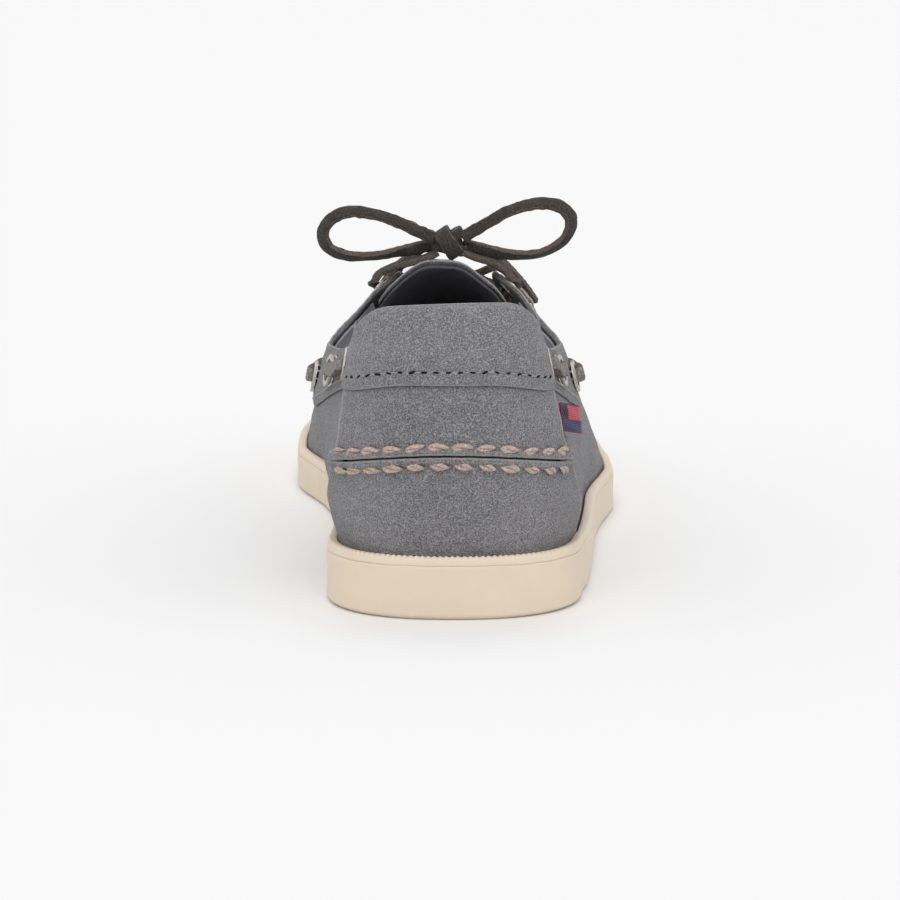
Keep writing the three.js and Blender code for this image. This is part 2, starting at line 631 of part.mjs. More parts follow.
// From the lower eyelet over the tongue, under the far collar and up through its eyelet.
function crossing(name, side) {
  const far = side > 0 ? 'medial' : 'lateral';
  const upper = spots[far].upper;
  const lift = side > 0 ? 1.4 : 3.9;
  const rise = (x, d, more) => free(x, d, tongueHeight(x, AT(d)) + more);
  const edgeZ = topPoint(sAtTop(137) * side).z + lift + 0.5;
  const edge = sAtTop(139) * side;
  return [
    onSkin(edge, 0.97, OUTSIDE),
    free(side * 13.5, 137, edgeZ),
    rise(side * 7, 135.5, lift + 2.5),
    rise(0, 133, lift + 0.7),
    rise(-side * 8, 129.5, 2.5),
    onSkin(lerp(upper.s, -side * sAtTop(130), 0.55), 0.955, INSIDE),
  ];
}

function toKnot(name, side) {
  const spot = spots[name].upper;
  const end = KNOT.x + side * (KNOT_HALF.x - 0.6);
  return [
    onSkin(spot.s, spot.t, -4.2),
    free(KNOT.x + side * 17, 124, 84),
    free(KNOT.x + side * 12, 124, 84.8),
    free(end + side * 1.8, 124, 86.5),
  ];
}

function upThrough(name, side) {
  const spot = spots[name].upper;
  const normal = new THREE.Vector3(-side, 0, 0);
  return [INSIDE + 0.1, LEATHER - 0.3, -1.2].map((depth) => ({ point: under(spot.s, spot.t, depth), normal }));
}

function lacePath() {
  const around = Array.from({ length: 15 }, (_, i) => {
    const s = lerp(-SEAM_TOP_S + 0.012, SEAM_TOP_S - 0.012, i / 14);
    const z = lerp(LACE_BACK_Z, LACE_EXIT_Z, smooth(0.06, SEAM_TOP_S, Math.abs(s)));
    return onSkin(s, shareAtZ(s, z), INSIDE);
  });
  const front = (name, side) => {
    const far = side > 0 ? 'medial' : 'lateral';
    return [...crossing(name, side), ...upThrough(far, -side), ...toKnot(far, -side)];
  };
  return [
    ...front('medial', -1).reverse(), ...sideLace('medial', -1).reverse(), ...around,
    ...sideLace('lateral', 1), ...front('lateral', 1),
  ];
}
add('lace', strap(lacePath(), rectangle(LACE_WIDTH, LACE_THICK)), 'thong');

const ball = new THREE.SphereGeometry(1, 12, 8);
ball.deleteAttribute('normal');
ball.deleteAttribute('uv');
ball.scale(KNOT_HALF.x, KNOT_HALF.y, KNOT_HALF.z).translate(KNOT.x, KNOT.y, KNOT.z);
add('lace_knot', dropSlivers(ball), 'thong');

// Free loops and ends of the bow: [x, distance from the heel, z].
const BOW = {
  bow_loop_medial: [[-7.2, 122.6, 93], [-12, 122.4, 95.6], [-20, 122.2, 98.9], [-29, 122.4, 100.8],
    [-36, 123.2, 99.2], [-39.6, 124.4, 94.6], [-38, 125.4, 89.4], [-32, 125.8, 86.8],
    [-23, 125.6, 86.9], [-14, 125.4, 88.6], [-7.2, 125.2, 90]],
  bow_loop_lateral: [[4.9, 122.6, 93.4], [10, 122.4, 96.8], [18.5, 122.2, 101.4], [27.5, 122.4, 103.3],
    [34, 123.2, 101.8], [36.6, 124.4, 97], [34, 125.4, 91.4], [27, 125.8, 87.6],
    [18.5, 125.6, 87.1], [10.5, 125.4, 88.5], [4.9, 125.2, 89.8]],
  lace_end_medial: [[-4, 128.6, 89.3], [-6.5, 133, 88.8], [-10, 140, 87], [-13.5, 148, 83.5],
    [-17, 157, 79.6], [-20, 167, 74.6], [-22, 177, 69.8], [-23, 186, 65.8]],
  lace_end_lateral: [[2, 128.6, 89.3], [5, 133, 88.8], [9, 140, 87], [13.5, 148, 83.5],
    [17.5, 157, 79.4], [21, 166, 74.6], [24, 175, 69.6], [26, 183, 65.6]],
};
// A flat thong along smooth points; a loop stands on edge, an end lies flat.
function thong(points, onEdge) {
  const line = new THREE.CatmullRomCurve3(points.map(([x, d, z]) => free(x, d, z).point));
  const centre = new THREE.Box3().setFromPoints(line.points).getCenter(new THREE.Vector3());
  const path = line.getSpacedPoints(onEdge ? 34 : 16).map((point) => ({
    point,
    normal: onEdge ? point.clone().sub(centre).setY(0).normalize() : UP,
  }));
  return strap(path, rectangle(LACE_WIDTH, LACE_THICK));
}
for (const [name, points] of Object.entries(BOW)) {
  add(name, thong(points, name.startsWith('bow')), 'thong');
}

// ---- threads ------------------------------------------------------------------------------
function thread(from, to, level, diameter, proud, steps) {
  const path = Array.from({ length: steps + 1 }, (_, i) => {
    const s = lerp(from, to, i / steps);
    return onSkin(s, level(s), -(diameter / 2 + proud));
  });
  return strap(path, roundSection(diameter, 4));
}
const ROW_T = 0.038; // stitch row to ridge line
const SEAM_END = SEAM_TOP_S + 0.004;
add('ridge_thread_upper', thread(-SEAM_END, SEAM_END, (s) => ridgeT(s) + ROW_T, THREAD, GAP + 0.8, 24), 'thread');
add('ridge_thread_lower', thread(-SEAM_END, SEAM_END, (s) => ridgeT(s) - ROW_T, THREAD, GAP + 0.5, 24), 'thread');
const BAND_STITCH_T = 0.04;
add('collar_thread', thread(-SEAM_TOP_S + 0.01, SEAM_TOP_S - 0.01, (s) => bandT(s) + BAND_STITCH_T,
  FINE_THREAD, GAP, 24), 'fineThread');
for (const [name, side] of SIDES) {
  add(`collar_thread_${name}`, thread(side * (SEAM_TOP_S + 0.045), side * (FRONT_S - 0.01),
    (s) => sideBandT(s) + BAND_STITCH_T, FINE_THREAD, GAP, 26), 'fineThread');
}
add('apron_thread', thread(FRONT_S + 0.01, 2 - FRONT_S - 0.01, fixed(0.93), THREAD, GAP + 1.1, 40), 'thread');

// ---- label --------------------------------------------------------------------------------
const LABEL_Z = 53.6;
function label() {
  const s = SEAM_TOP_S + 0.006;
  const t = shareAtZ(s, LABEL_Z);
  const normal = skinNormal(s, t);
  const flat = skin(s + 0.01, t).sub(skin(s - 0.01, t)).normalize();
  const up = normal.clone().cross(flat).normalize();
  const along = flat.clone().applyAxisAngle(up, -LABEL.lift);
  const box = new THREE.BoxGeometry(LABEL.length, LABEL.height, LABEL.thick);
  box.applyMatrix4(new THREE.Matrix4().makeBasis(along, up, along.clone().cross(up)));
  box.deleteAttribute('normal');
  box.deleteAttribute('uv');
  const sewn = under(s, t, -(GAP + 0.2 + LABEL.thick / 2));
  const at = sewn.addScaledVector(along, LABEL.length / 2);
  return dropSlivers(box.translate(at.x, at.y, at.z));
}
add('label', label(), 'red');

// Origin: under the middle of the shoe's box, measured without the free loops and ends.
const box = new THREE.Box3();
shoe.children.filter((mesh) => !(mesh.name in BOW)).forEach((mesh) => box.expandByObject(mesh));
const middle = box.getCenter(new THREE.Vector3());
shoe.position.set(-middle.x, -middle.y, 0);

export default shoe;
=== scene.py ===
import json
import math

import bpy
import numpy as np
from mathutils import Matrix, Vector


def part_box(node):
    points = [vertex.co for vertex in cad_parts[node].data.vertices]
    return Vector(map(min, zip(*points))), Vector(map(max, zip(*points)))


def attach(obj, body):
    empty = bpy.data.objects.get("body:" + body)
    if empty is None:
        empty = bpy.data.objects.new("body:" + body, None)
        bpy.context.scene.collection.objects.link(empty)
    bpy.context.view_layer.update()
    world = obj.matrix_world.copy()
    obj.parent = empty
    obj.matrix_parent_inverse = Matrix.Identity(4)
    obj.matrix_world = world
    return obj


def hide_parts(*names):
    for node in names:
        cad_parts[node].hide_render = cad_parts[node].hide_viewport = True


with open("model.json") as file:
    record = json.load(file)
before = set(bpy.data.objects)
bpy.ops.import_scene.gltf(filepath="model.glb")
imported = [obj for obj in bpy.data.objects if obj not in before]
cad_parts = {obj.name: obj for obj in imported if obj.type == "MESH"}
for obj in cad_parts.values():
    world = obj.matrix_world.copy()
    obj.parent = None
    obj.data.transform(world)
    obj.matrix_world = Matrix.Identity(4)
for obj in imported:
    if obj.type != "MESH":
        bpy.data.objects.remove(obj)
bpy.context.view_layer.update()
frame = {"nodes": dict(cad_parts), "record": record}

bl_info = {
    "name": "Deck Shoe Maker",
    "version": (1, 0, 0),
    "blender": (4, 5, 0),
    "location": "View3D > Sidebar > Deck Shoe",
    "description": "Makes the suede, rubber, thong and stitches of a hand-sewn deck shoe",
    "category": "Add Mesh",
}

# ---- sizes, in millimetres, as the pattern has them ---------------------------------
SOLE_LENGTH = 298.0
WALL_HEEL = 15.2
WALL_FRONT = 11.5
RIM_RISE = 2.3
RIM_WIDTH = 3.0
SOLE_FLOOR = 9.0
TOE_SPRING = 8.0
TOE_SPRING_START = 215.0
BOARD = 2.0
FOOTBED = 3.6
LEATHER = 1.6
LINING = 1.0
STIFFENER = 1.6
LACE_WIDTH = 3.6
LACE_THICK = 2.0
GAP = 0.3
TUNNEL = LACE_THICK + 1.4
COLLAR_HEIGHT = 87.7
BAND_HEIGHT = 22.0
RIDGE_Z = 46.0
TONGUE_TIP = 104.0
TONGUE_BASE = 164.0
TONGUE_WIDTH = 42.0
TONGUE_LINING = 1.2
APRON_BACK = 161.0
EYELET_BORE = 3.4
EYELET_LIP = 0.5
EYELET_RAISE = 0.45
UPPER_INSET = RIM_WIDTH + 0.5
SKIRT_Z = SOLE_FLOOR + BOARD + 2 * GAP
SKIRT_T = 0.08
LINING_OUT = LEATHER + TUNNEL
BOARD_TOP = SOLE_FLOOR + GAP + BOARD
MM = 0.001


def lerp(a, b, f):
    return a + (b - a) * f


def smooth(low, high, value):
    f = np.clip((value - low) / (high - low), 0, 1)
    return f * f * (3 - 2 * f)


def curve(points):
    """Smooth curve through a few (place, value) points, with no overshoot."""
    x, y = np.array(points, float).T
    h = np.diff(x)
    d = np.diff(y) / h
    m = np.empty(len(x))
    m[0], m[-1] = d[0], d[-1]
    for i in range(1, len(x) - 1):
        turns = d[i - 1] * d[i] <= 0
        m[i] = 0 if turns else 3 * (h[i - 1] + h[i]) / (
            (2 * h[i] + h[i - 1]) / d[i - 1] + (h[i] + 2 * h[i - 1]) / d[i])

    def at(v):
        v = np.clip(v, x[0], x[-1])
        i = np.clip(np.searchsorted(x, v, side="right") - 1, 0, len(x) - 2)
        t = (v - x[i]) / h[i]
        return ((2 * t**3 - 3 * t**2 + 1) * y[i] + (t**3 - 2 * t**2 + t) * h[i] * m[i]
                + (3 * t**2 - 2 * t**3) * y[i + 1] + (t**3 - t**2) * h[i] * m[i + 1])

    return at


def rounding(d, start, end, heel, heel_power, toe, toe_power):
    a = np.clip(1 - (d - start) / heel, 0, 1)
    b = np.clip((d - (end - toe)) / toe, 0, 1)
    return (1 - a**heel_power) ** (1 / heel_power) * (1 - b**toe_power) ** (1 / toe_power)


SOLE_HALF = {
    -1: curve([(0, 35.8), (33, 35.8), (62, 35), (100, 35.2), (134, 36.6), (152, 38.2), (168, 41),
               (182, 44.8), (193, 48), (207, 50.3), (235, 50.4), (262, 49), (298, 46)]),
    1: curve([(0, 36.4), (33, 37.2), (46, 39.2), (67, 41.1), (92, 42.8), (115, 44.2), (136, 47), (152, 50.2),
              (168, 52.6), (184, 52.8), (205, 51.6), (235, 50.5), (262, 49), (298, 45)]),
}
TOP_HALF = {
    -1: curve([(8, 26.5), (27, 27), (44, 29.4), (60, 32.2), (80, 36), (100, 30.5), (115, 24), (128, 16.5),
               (140, 15.5), (150, 17), (160, 21), (178, 28), (205, 33), (232, 33.5), (268, 33)]),
    1: curve([(8, 25.5), (27, 25.8), (44, 27.8), (60, 30.4), (80, 33), (100, 26.5), (115, 20.8), (128, 13.5),
              (140, 13.5), (150, 16), (160, 21), (178, 25.5), (205, 31), (232, 33), (268, 30)]),
}
TOP_HEIGHT = curve([(8, COLLAR_HEIGHT), (13, COLLAR_HEIGHT - 1), (19, COLLAR_HEIGHT - 4),
                    (28, COLLAR_HEIGHT - 10.2), (40, 71.5), (60, 67.6), (80, 66.6), (100, 71.5),
                    (115, 77.5), (128, 82), (140, 79.5), (150, 75.5), (160, 69.5), (180, 56),
                    (205, 48), (232, 42), (268, 36)])
WALL_TOP = curve([(0, WALL_HEEL), (60, WALL_HEEL - 1.2), (150, WALL_FRONT), (298, WALL_FRONT)])
FLOOR_DROP = curve([(0, 0), (60, 0), (150, 2.5), (298, 2.5)])
AXIS_X = curve([(0, 0), (120, 0), (200, -1), (250, -3), (298, -7)])
BULGE_LOW = {
    -1: curve([(0, 6), (30, 6), (60, 8), (90, 9), (130, 7), (165, 5), (200, -2.5), (298, 3)]),
    1: curve([(0, 6), (30, 6), (60, 3), (90, -1.2), (150, -2.5), (200, -6), (298, 3)]),
}
BULGE_HIGH = {
    -1: curve([(0, 6), (30, 2.5), (60, 6), (90, 8), (130, 13), (160, 12), (200, 11), (298, 7)]),
    1: curve([(0, 6), (30, 2.5), (60, 4.3), (90, 8), (130, 11.5), (160, 13), (200, 8), (298, 7)]),
}
HANDLE_LOW = curve([(0, 0.33), (120, 0.33), (200, 0.2), (298, 0.5)])
HANDLE_HIGH = curve([(0, 0.33), (100, 0.33), (140, 0.22), (180, 0.06), (298, 0.06)])
TOP_BACK, TOP_FRONT = 8.0, 268.0


def spring(d):
    f = np.clip((d - TOE_SPRING_START) / (SOLE_LENGTH - TOE_SPRING_START), 0, 1)
    return TOE_SPRING * f * f


def side_of(s):
    wrapped = s - 2 * np.round(np.asarray(s, float) / 2)
    return np.abs(wrapped), np.where(wrapped < 0, -1.0, 1.0)


def by_side(table, sign, d):
    return np.where(sign < 0, table[-1](d), table[1](d))


def sole_point(s, inset, z):
    """Point on the sole's outline: s is 0 at the back, 1 and -1 at the toe."""
    u, sign = side_of(s)
    d = lerp(inset, SOLE_LENGTH - inset, (1 - np.cos(np.pi * u)) / 2)
    pull = rounding(d, inset, SOLE_LENGTH - inset, 34, 2.35, 84, 2.4)
    x = AXIS_X(d) + sign * (by_side(SOLE_HALF, sign, d) - inset) * pull
    return np.stack([x, d, z(d) + spring(d) + 0 * x], -1)


def top_point(s):
    u, sign = side_of(s)
    d = lerp(TOP_BACK, TOP_FRONT, (1 - np.cos(np.pi * u)) / 2)
    pull = rounding(d, TOP_BACK, TOP_FRONT, 22, 2.5, 66, 2.4)
    x = AXIS_X(d) * 1.3 - 0.9 * (1 - smooth(60, 120, d)) + sign * by_side(TOP_HALF, sign, d) * pull
    return np.stack([x, d, TOP_HEIGHT(d) + 0.03 * x * (1 - smooth(20, 45, d))], -1)


def s_at_top(d):
    return math.acos(1 - 2 * (d - TOP_BACK) / (TOP_FRONT - TOP_BACK)) / math.pi


def rim_top(d):
    return WALL_TOP(d) + RIM_RISE


def feather(s):
    return sole_point(s, UPPER_INSET, lambda d: rim_top(d) + 2 * GAP)


def outward(s):
    e = 0.002
    along = feather(s + e) - feather(s - e)
    out = np.stack([along[..., 1], -along[..., 0], 0 * along[..., 0]], -1)
    return out / np.linalg.norm(out, axis=-1, keepdims=True)


def skin(s, t):
    """Outside of the upper: t is 0 at the rim and 1 at the collar or the apron seam."""
    s, t = np.broadcast_arrays(np.asarray(s, float), np.asarray(t, float))
    low, high, out = feather(s), top_point(s), outward(s)
    d, sign = low[..., 1], side_of(s)[1]
    rise = high[..., 2] - low[..., 2]
    p1 = low + out * by_side(BULGE_LOW, sign, d)[..., None]
    p2 = high + out * by_side(BULGE_HIGH, sign, d)[..., None]
    p1[..., 2] += rise * HANDLE_LOW(d)
    p2[..., 2] -= rise * HANDLE_HIGH(d)
    f = np.clip(t, 0, None)[..., None]
    point = low * (1 - f) ** 3 + 3 * p1 * (1 - f) ** 2 * f + 3 * p2 * (1 - f) * f**2 + high * f**3
    drop = rim_top(d) + 2 * GAP - (SKIRT_Z - FLOOR_DROP(d))
    point[..., 2] += np.clip(t, None, 0) / SKIRT_T * drop
    return point


def skin_normal(s, t):
    e = 0.004
    t = np.clip(t, e, 1 - e)
    n = np.cross(skin(s + e, t) - skin(s - e, t), skin(s, t + e) - skin(s, t - e))
    return n / np.linalg.norm(n, axis=-1, keepdims=True)


def under(s, t, depth):
    """Point a given depth under the outside of the upper."""
    s, t = np.broadcast_arrays(np.asarray(s, float), np.asarray(t, float))
    normal = np.where(t[..., None] < 0, outward(s), skin_normal(s, t))
    return skin(s, t) - normal * np.asarray(depth)[..., None]


def share_at_z(s, z):
    """Height up a column of the upper, as a share, for a level."""
    s = np.asarray(s, float)
    low, high = np.zeros(s.shape), np.ones(s.shape)
    for _ in range(26):
        middle = (low + high) / 2
        below = skin(s, middle)[..., 2] < z
        low, high = np.where(below, middle, low), np.where(below, high, middle)
    return (low + high) / 2


# The frame is centred on the shoe's box; the pattern starts at the back of the heel.
def pattern_shift():
    low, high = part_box("outsole")
    ring = sole_point(np.linspace(-1, 1, 2001), 0.0, lambda d: 0 * d)
    x = (low[0] + high[0]) / 2 / MM - (ring[:, 0].min() + ring[:, 0].max()) / 2
    return np.array([x, (low[1] + high[1]) / 2 / MM - SOLE_LENGTH / 2, 0.0])


SHIFT = pattern_shift()


def to_frame(points):
    return (np.asarray(points) + SHIFT) * MM


# ---- seams ----------------------------------------------------------------------------
SEAM_S, SEAM_TOP_S = 0.232, 0.15
FRONT_S = s_at_top(152)


def seam_s(t):
    return lerp(SEAM_S, SEAM_TOP_S, smooth(0.1, 0.5, t))


def ridge_t(s):
    return share_at_z(s, RIDGE_Z - 4 * smooth(0, SEAM_TOP_S + 0.02, np.abs(s)))


def band_t(s):
    return share_at_z(s, COLLAR_HEIGHT - BAND_HEIGHT - 3.4 * smooth(0.03, SEAM_TOP_S, np.abs(s)))


SIDE_BAND_Z = curve([(28, 61.5), (40, 58.5), (50, 56), (65, 51), (85, 46.5), (100, 47.5),
                     (120, 52), (140, 56), (152, 57)])


def side_band_t(s):
    return share_at_z(s, SIDE_BAND_Z(top_point(s)[..., 1]))


# ---- mesh helpers ---------------------------------------------------------------------
def new_object(name, mesh, *materials):
    for material in materials:
        mesh.materials.append(material)
    obj = bpy.data.objects.new(name, mesh)
    bpy.context.scene.collection.objects.link(obj)
    return obj


def mesh_from(name, points, faces, materials, face_slots=None):
    mesh = bpy.data.meshes.new(name)
    mesh.from_pydata(to_frame(points).tolist(), [], [tuple(f) for f in faces])
    if face_slots is not None:
        mesh.polygons.foreach_set("material_index", face_slots)
    mesh.polygons.foreach_set("use_smooth", [True] * len(mesh.polygons))
    mesh.update()
    return new_object(name, mesh, *materials)


def volume_sign(points, faces):
    a, b, c = (points[faces[:, i]] for i in (0, 1, 2))
    d = points[faces[:, 3]]
    return np.sign((a * np.cross(b, c)).sum() + (a * np.cross(c, d)).sum())


def wall(name, outer, inner, materials, rim=(2, 2)):
    """Closed wall between two grids. The finishes are for its outside, inside, cut edges and,
    over the outside's last few rows of faces, the lighter raw nap along the cut with a painted highlight on
    its rounded edge."""
    n, m = outer.shape[:2]
    points = np.concatenate([outer.reshape(-1, 3), inner.reshape(-1, 3)])
    grid = np.arange(n * m).reshape(n, m)
    other = grid + n * m

    def strip(a, b):
        return np.stack([a[:-1], a[1:], b[1:], b[:-1]], -1)

    face = np.stack([grid[:-1, :-1], grid[1:, :-1], grid[1:, 1:], grid[:-1, 1:]], -1).reshape(-1, 4)
    back = face[:, ::-1] + n * m
    edges = np.concatenate([
        strip(other[:, 0], grid[:, 0]), strip(grid[:, -1], other[:, -1]),
        strip(grid[0], other[0]), strip(other[-1], grid[-1]),
    ])
    faces = np.concatenate([face, back, edges])
    if volume_sign(points, faces) < 0:
        faces = faces[:, ::-1]
    slots = np.repeat([0, 1, 2], [len(face), len(back), len(edges)])
    # The outer rows along each cut take the fourth finish: lighter raw nap plus a painted highlight on the
    # rounded edge.
    if len(materials) > 3:
        near = np.zeros((n - 1, m - 1), bool)
        near[:rim[0]] = near[n - 1 - rim[0]:] = near[:, :rim[1]] = near[:, m - 1 - rim[1]:] = True
        slots[:len(face)][near.reshape(-1)] = 3
    return mesh_from(name, points, faces, materials, slots)


def steps(count, length, edge=0.9):
    """Places from 0 to 1, close together at both ends where the edge is rounded."""
    e = min(edge / length, 0.2)
    near = e * np.array([0, 0.12, 0.3, 0.6])
    return np.concatenate([near, np.linspace(e, 1 - e, count), 1 - near[::-1]])


def edge_round(distance, radius):
    gone = np.clip(radius - distance, 0, radius)
    return radius - np.sqrt(radius**2 - gone**2)


def of(value, s, t):
    return value(s, t) if callable(value) else value + 0 * s


def ripple(s, t):
    """Slight unevenness of soft leather."""
    p = skin(s, t)
    return (0.16 * np.sin(0.19 * p[..., 0] + 0.33 * p[..., 2] + 1.3)
            + 0.12 * np.sin(0.31 * p[..., 1] - 0.27 * p[..., 2] + 0.4)
            + 0.06 * np.sin(0.83 * p[..., 0] + 0.71 * p[..., 1] + 0.9 * p[..., 2]))


def panel(name, ends, levels, depth, thick, count, size, materials, soft=0.55, rim=(2, 2)):
    """Piece of the upper between two end lines and two levels, at a depth under the skin."""
    s0, s1 = ends
    t0, t1 = levels
    a, b = np.meshgrid(steps(count[0], size[0]), steps(count[1], size[1]), indexing="ij")
    rough = lerp(s0(0.5), s1(0.5), a)
    low, high = t0(rough), t1(rough)
    t = lerp(low, high, b)
    s = lerp(s0(t), s1(t), a)
    reach = np.minimum(np.minimum(a, 1 - a) * size[0], np.minimum(b, 1 - b) * size[1])
    level = of(depth, s, t)
    cut = edge_round(reach, soft)
    return wall(name, under(s, t, level + cut + ripple(s, t)),
                under(s, t, level + of(thick, s, t) - 0.4 * cut), materials, rim)


def fixed(value):
    return lambda x: value + 0 * np.asarray(x, float)


def stack(name, rings, materials, slots=None):
    """Closed outlines stacked up, capped across from side to side."""
    count = len(rings[0])
    half = count // 2
    points = np.concatenate(rings)
    i = np.arange(count)
    faces = [np.stack([r * count + i, r * count + (i + 1) % count,
                       (r + 1) * count + (i + 1) % count, (r + 1) * count + i], -1)
             for r in range(len(rings) - 1)]
    k = np.arange(half)
    mirror, nextm = (count - k) % count, count - k - 1
    cap = np.stack([k, mirror, nextm, k + 1], -1)
    last = (len(rings) - 1) * count
    faces.append(cap)
    faces.append(cap[:, ::-1] + last)
    quads = np.concatenate(faces)
    if volume_sign(points, quads) < 0:
        quads = quads[:, ::-1]
    clean = [list(dict.fromkeys(q)) for q in quads.tolist()]
    return mesh_from(name, points, clean, materials, slots)


def frames(points, normals):
    """Direction, side and up at each point of a line."""
    along = np.gradient(points, axis=0)
    along /= np.linalg.norm(along, axis=1, keepdims=True)
    up = normals - along * (normals * along).sum(1)[:, None]
    up /= np.linalg.norm(up, axis=1, keepdims=True)
    return along, np.cross(along, up), up


def sweep(name, points, normals, section, materials):
    """Closed strap along a line; section is (n, 2), or one for each point."""
    _, side, up = frames(points, normals)
    sections = np.broadcast_to(section, (len(points),) + np.shape(section)[-2:])
    verts = (points[:, None] + side[:, None] * sections[..., :1] + up[:, None] * sections[..., 1:])
    n, m = len(points), sections.shape[1]
    grid = np.arange(n * m).reshape(n, m)
    ahead = np.roll(grid, -1, axis=1)
    faces = np.stack([grid[:-1], ahead[:-1], ahead[1:], grid[1:]], -1).reshape(-1, 4)
    middle = n * m
    flat = np.concatenate([verts.reshape(-1, 3), points[:1], points[-1:]])
    tri = [(middle, b, a) for a, b in zip(grid[0], ahead[0])]
    tri += [(middle + 1, a, b) for a, b in zip(grid[-1], ahead[-1])]
    if volume_sign(flat, faces) < 0:
        faces, tri = faces[:, ::-1], [t[::-1] for t in tri]
    return mesh_from(name, flat, faces.tolist() + tri, materials)


def join(name, objects):
    """One mesh from several, in the first one's materials order."""
    with bpy.context.temp_override(active_object=objects[0], selected_editable_objects=objects):
        bpy.ops.object.join()
    objects[0].name = name
    objects[0].data.name = name
    return objects[0]


def resample(points, normals, gap, ease=2):
    """Even steps along a line, with its corners eased."""
    points, normals = np.array(points, float), np.array(normals, float)
    length = np.concatenate([[0], np.cumsum(np.linalg.norm(np.diff(points, axis=0), axis=1))])
    at = np.linspace(0, length[-1], max(8, int(length[-1] / gap)))
    line = np.stack([np.interp(at, length, points[:, k]) for k in range(3)], 1)
    up = np.stack([np.interp(at, length, normals[:, k]) for k in range(3)], 1)
    for _ in range(ease):
        line[1:-1] = 0.25 * line[:-2] + 0.5 * line[1:-1] + 0.25 * line[2:]
        up[1:-1] = 0.25 * up[:-2] + 0.5 * up[1:-1] + 0.25 * up[2:]
    return line, up


def through(points, gap):
    """Smooth line through points."""
    p = np.array(points, float)
    p = np.concatenate([2 * p[:1] - p[1:2], p, 2 * p[-1:] - p[-2:-1]])
    out = []
    for a, b, c, d in zip(p[:-3], p[1:-2], p[2:-1], p[3:]):
        t = np.linspace(0, 1, 12, endpoint=False)[:, None]
        out.append(0.5 * (2 * b + (c - a) * t + (2 * a - 5 * b + 4 * c - d) * t**2
                          + (3 * b - a - 3 * c + d) * t**3))
    line = np.concatenate(out + [p[-2:-1]])
    return resample(line, np.zeros_like(line), gap, 0)[0]


def strap_section(width, thick, corner=0.45, per=3):
    """Rounded rectangle."""
    ring = []
    for cx, cy, start in ((1, 1, 0), (-1, 1, 90), (-1, -1, 180), (1, -1, 270)):
        for k in range(per):
            angle = math.radians(start + 90 * k / (per - 1))
            ring.append((cx * (width / 2 - corner) + corner * math.cos(angle),
                         cy * (thick / 2 - corner) + corner * math.sin(angle)))
    return np.array(ring)


# ---- shader groups -----------------------------------------------------------------------
def socket(tree, name, kind, value=None, output=False):
    item = tree.interface.new_socket(name=name, in_out="OUTPUT" if output else "INPUT",
                                     socket_type="NodeSocket" + kind)
    if value is not None:
        item.default_value = value
    return item


def node(tree, kind, **values):
    made = tree.nodes.new(kind)
    for key, value in values.items():
        if hasattr(made, key):
            setattr(made, key, value)
        else:
            made.inputs[key.replace("_", " ")].default_value = value
    return made


def math_node(tree, operation, a, b=None, clamp=False):
    made = node(tree, "ShaderNodeMath", operation=operation, use_clamp=clamp)
    for index, value in enumerate((a, b)):
        if isinstance(value, bpy.types.NodeSocket):
            tree.links.new(value, made.inputs[index])
        elif value is not None:
            made.inputs[index].default_value = value
    return made.outputs[0]


def mix_colour(tree, factor, a, b, blend="MIX"):
    made = node(tree, "ShaderNodeMix", data_type="RGBA", blend_type=blend)
    for name, value in ((0, factor), (6, a), (7, b)):
        if isinstance(value, bpy.types.NodeSocket):
            tree.links.new(value, made.inputs[name])
        else:
            made.inputs[name].default_value = value
    return made.outputs[2]


def noise(tree, coords, scale, detail=2.0, roughness=0.5):
    made = node(tree, "ShaderNodeTexNoise", Scale=scale, Detail=detail, Roughness=roughness)
    tree.links.new(coords, made.inputs["Vector"])
    return made.outputs["Fac"]


def ramp(tree, value, low, high):
    made = node(tree, "ShaderNodeMapRange")
    tree.links.new(value, made.inputs["Value"])
    made.inputs["From Min"].default_value = low
    made.inputs["From Max"].default_value = high
    return made.outputs["Result"]


def nap_group():
    """Brushed leather: short fibres, stroked patches and broad shading."""
    tree = bpy.data.node_groups.new("Leather nap", "ShaderNodeTree")
    socket(tree, "Fibre Scale", "Float", 1500.0)
    socket(tree, "Patch Scale", "Float", 190.0)
    socket(tree, "Dark", "Color", (0.2, 0.2, 0.21, 1))
    socket(tree, "Light", "Color", (0.4, 0.4, 0.42, 1))
    socket(tree, "Colour", "Color", output=True)
    socket(tree, "Height", "Float", output=True)
    start, end = node(tree, "NodeGroupInput"), node(tree, "NodeGroupOutput")
    where = node(tree, "ShaderNodeTexCoord").outputs["Object"]
    fibre = noise(tree, where, 1500, 3, 0.65)
    patch = noise(tree, where, 190, 4, 0.6)
    broad = noise(tree, where, 38, 2, 0.5)
    for made, name in ((fibre, "Fibre Scale"), (patch, "Patch Scale")):
        tree.links.new(start.outputs[name], made.node.inputs["Scale"])
    fine = math_node(tree, "MULTIPLY", ramp(tree, fibre, 0.39, 0.61), 0.78)
    middle = math_node(tree, "MULTIPLY", ramp(tree, patch, 0.32, 0.68), 0.11)
    wide = math_node(tree, "MULTIPLY", ramp(tree, broad, 0.3, 0.7), 0.11)
    total = math_node(tree, "ADD", math_node(tree, "ADD", fine, middle), wide)
    colour = mix_colour(tree, total, start.outputs["Dark"], start.outputs["Light"])
    tree.links.new(colour, end.inputs["Colour"])
    tree.links.new(total, end.inputs["Height"])
    return tree


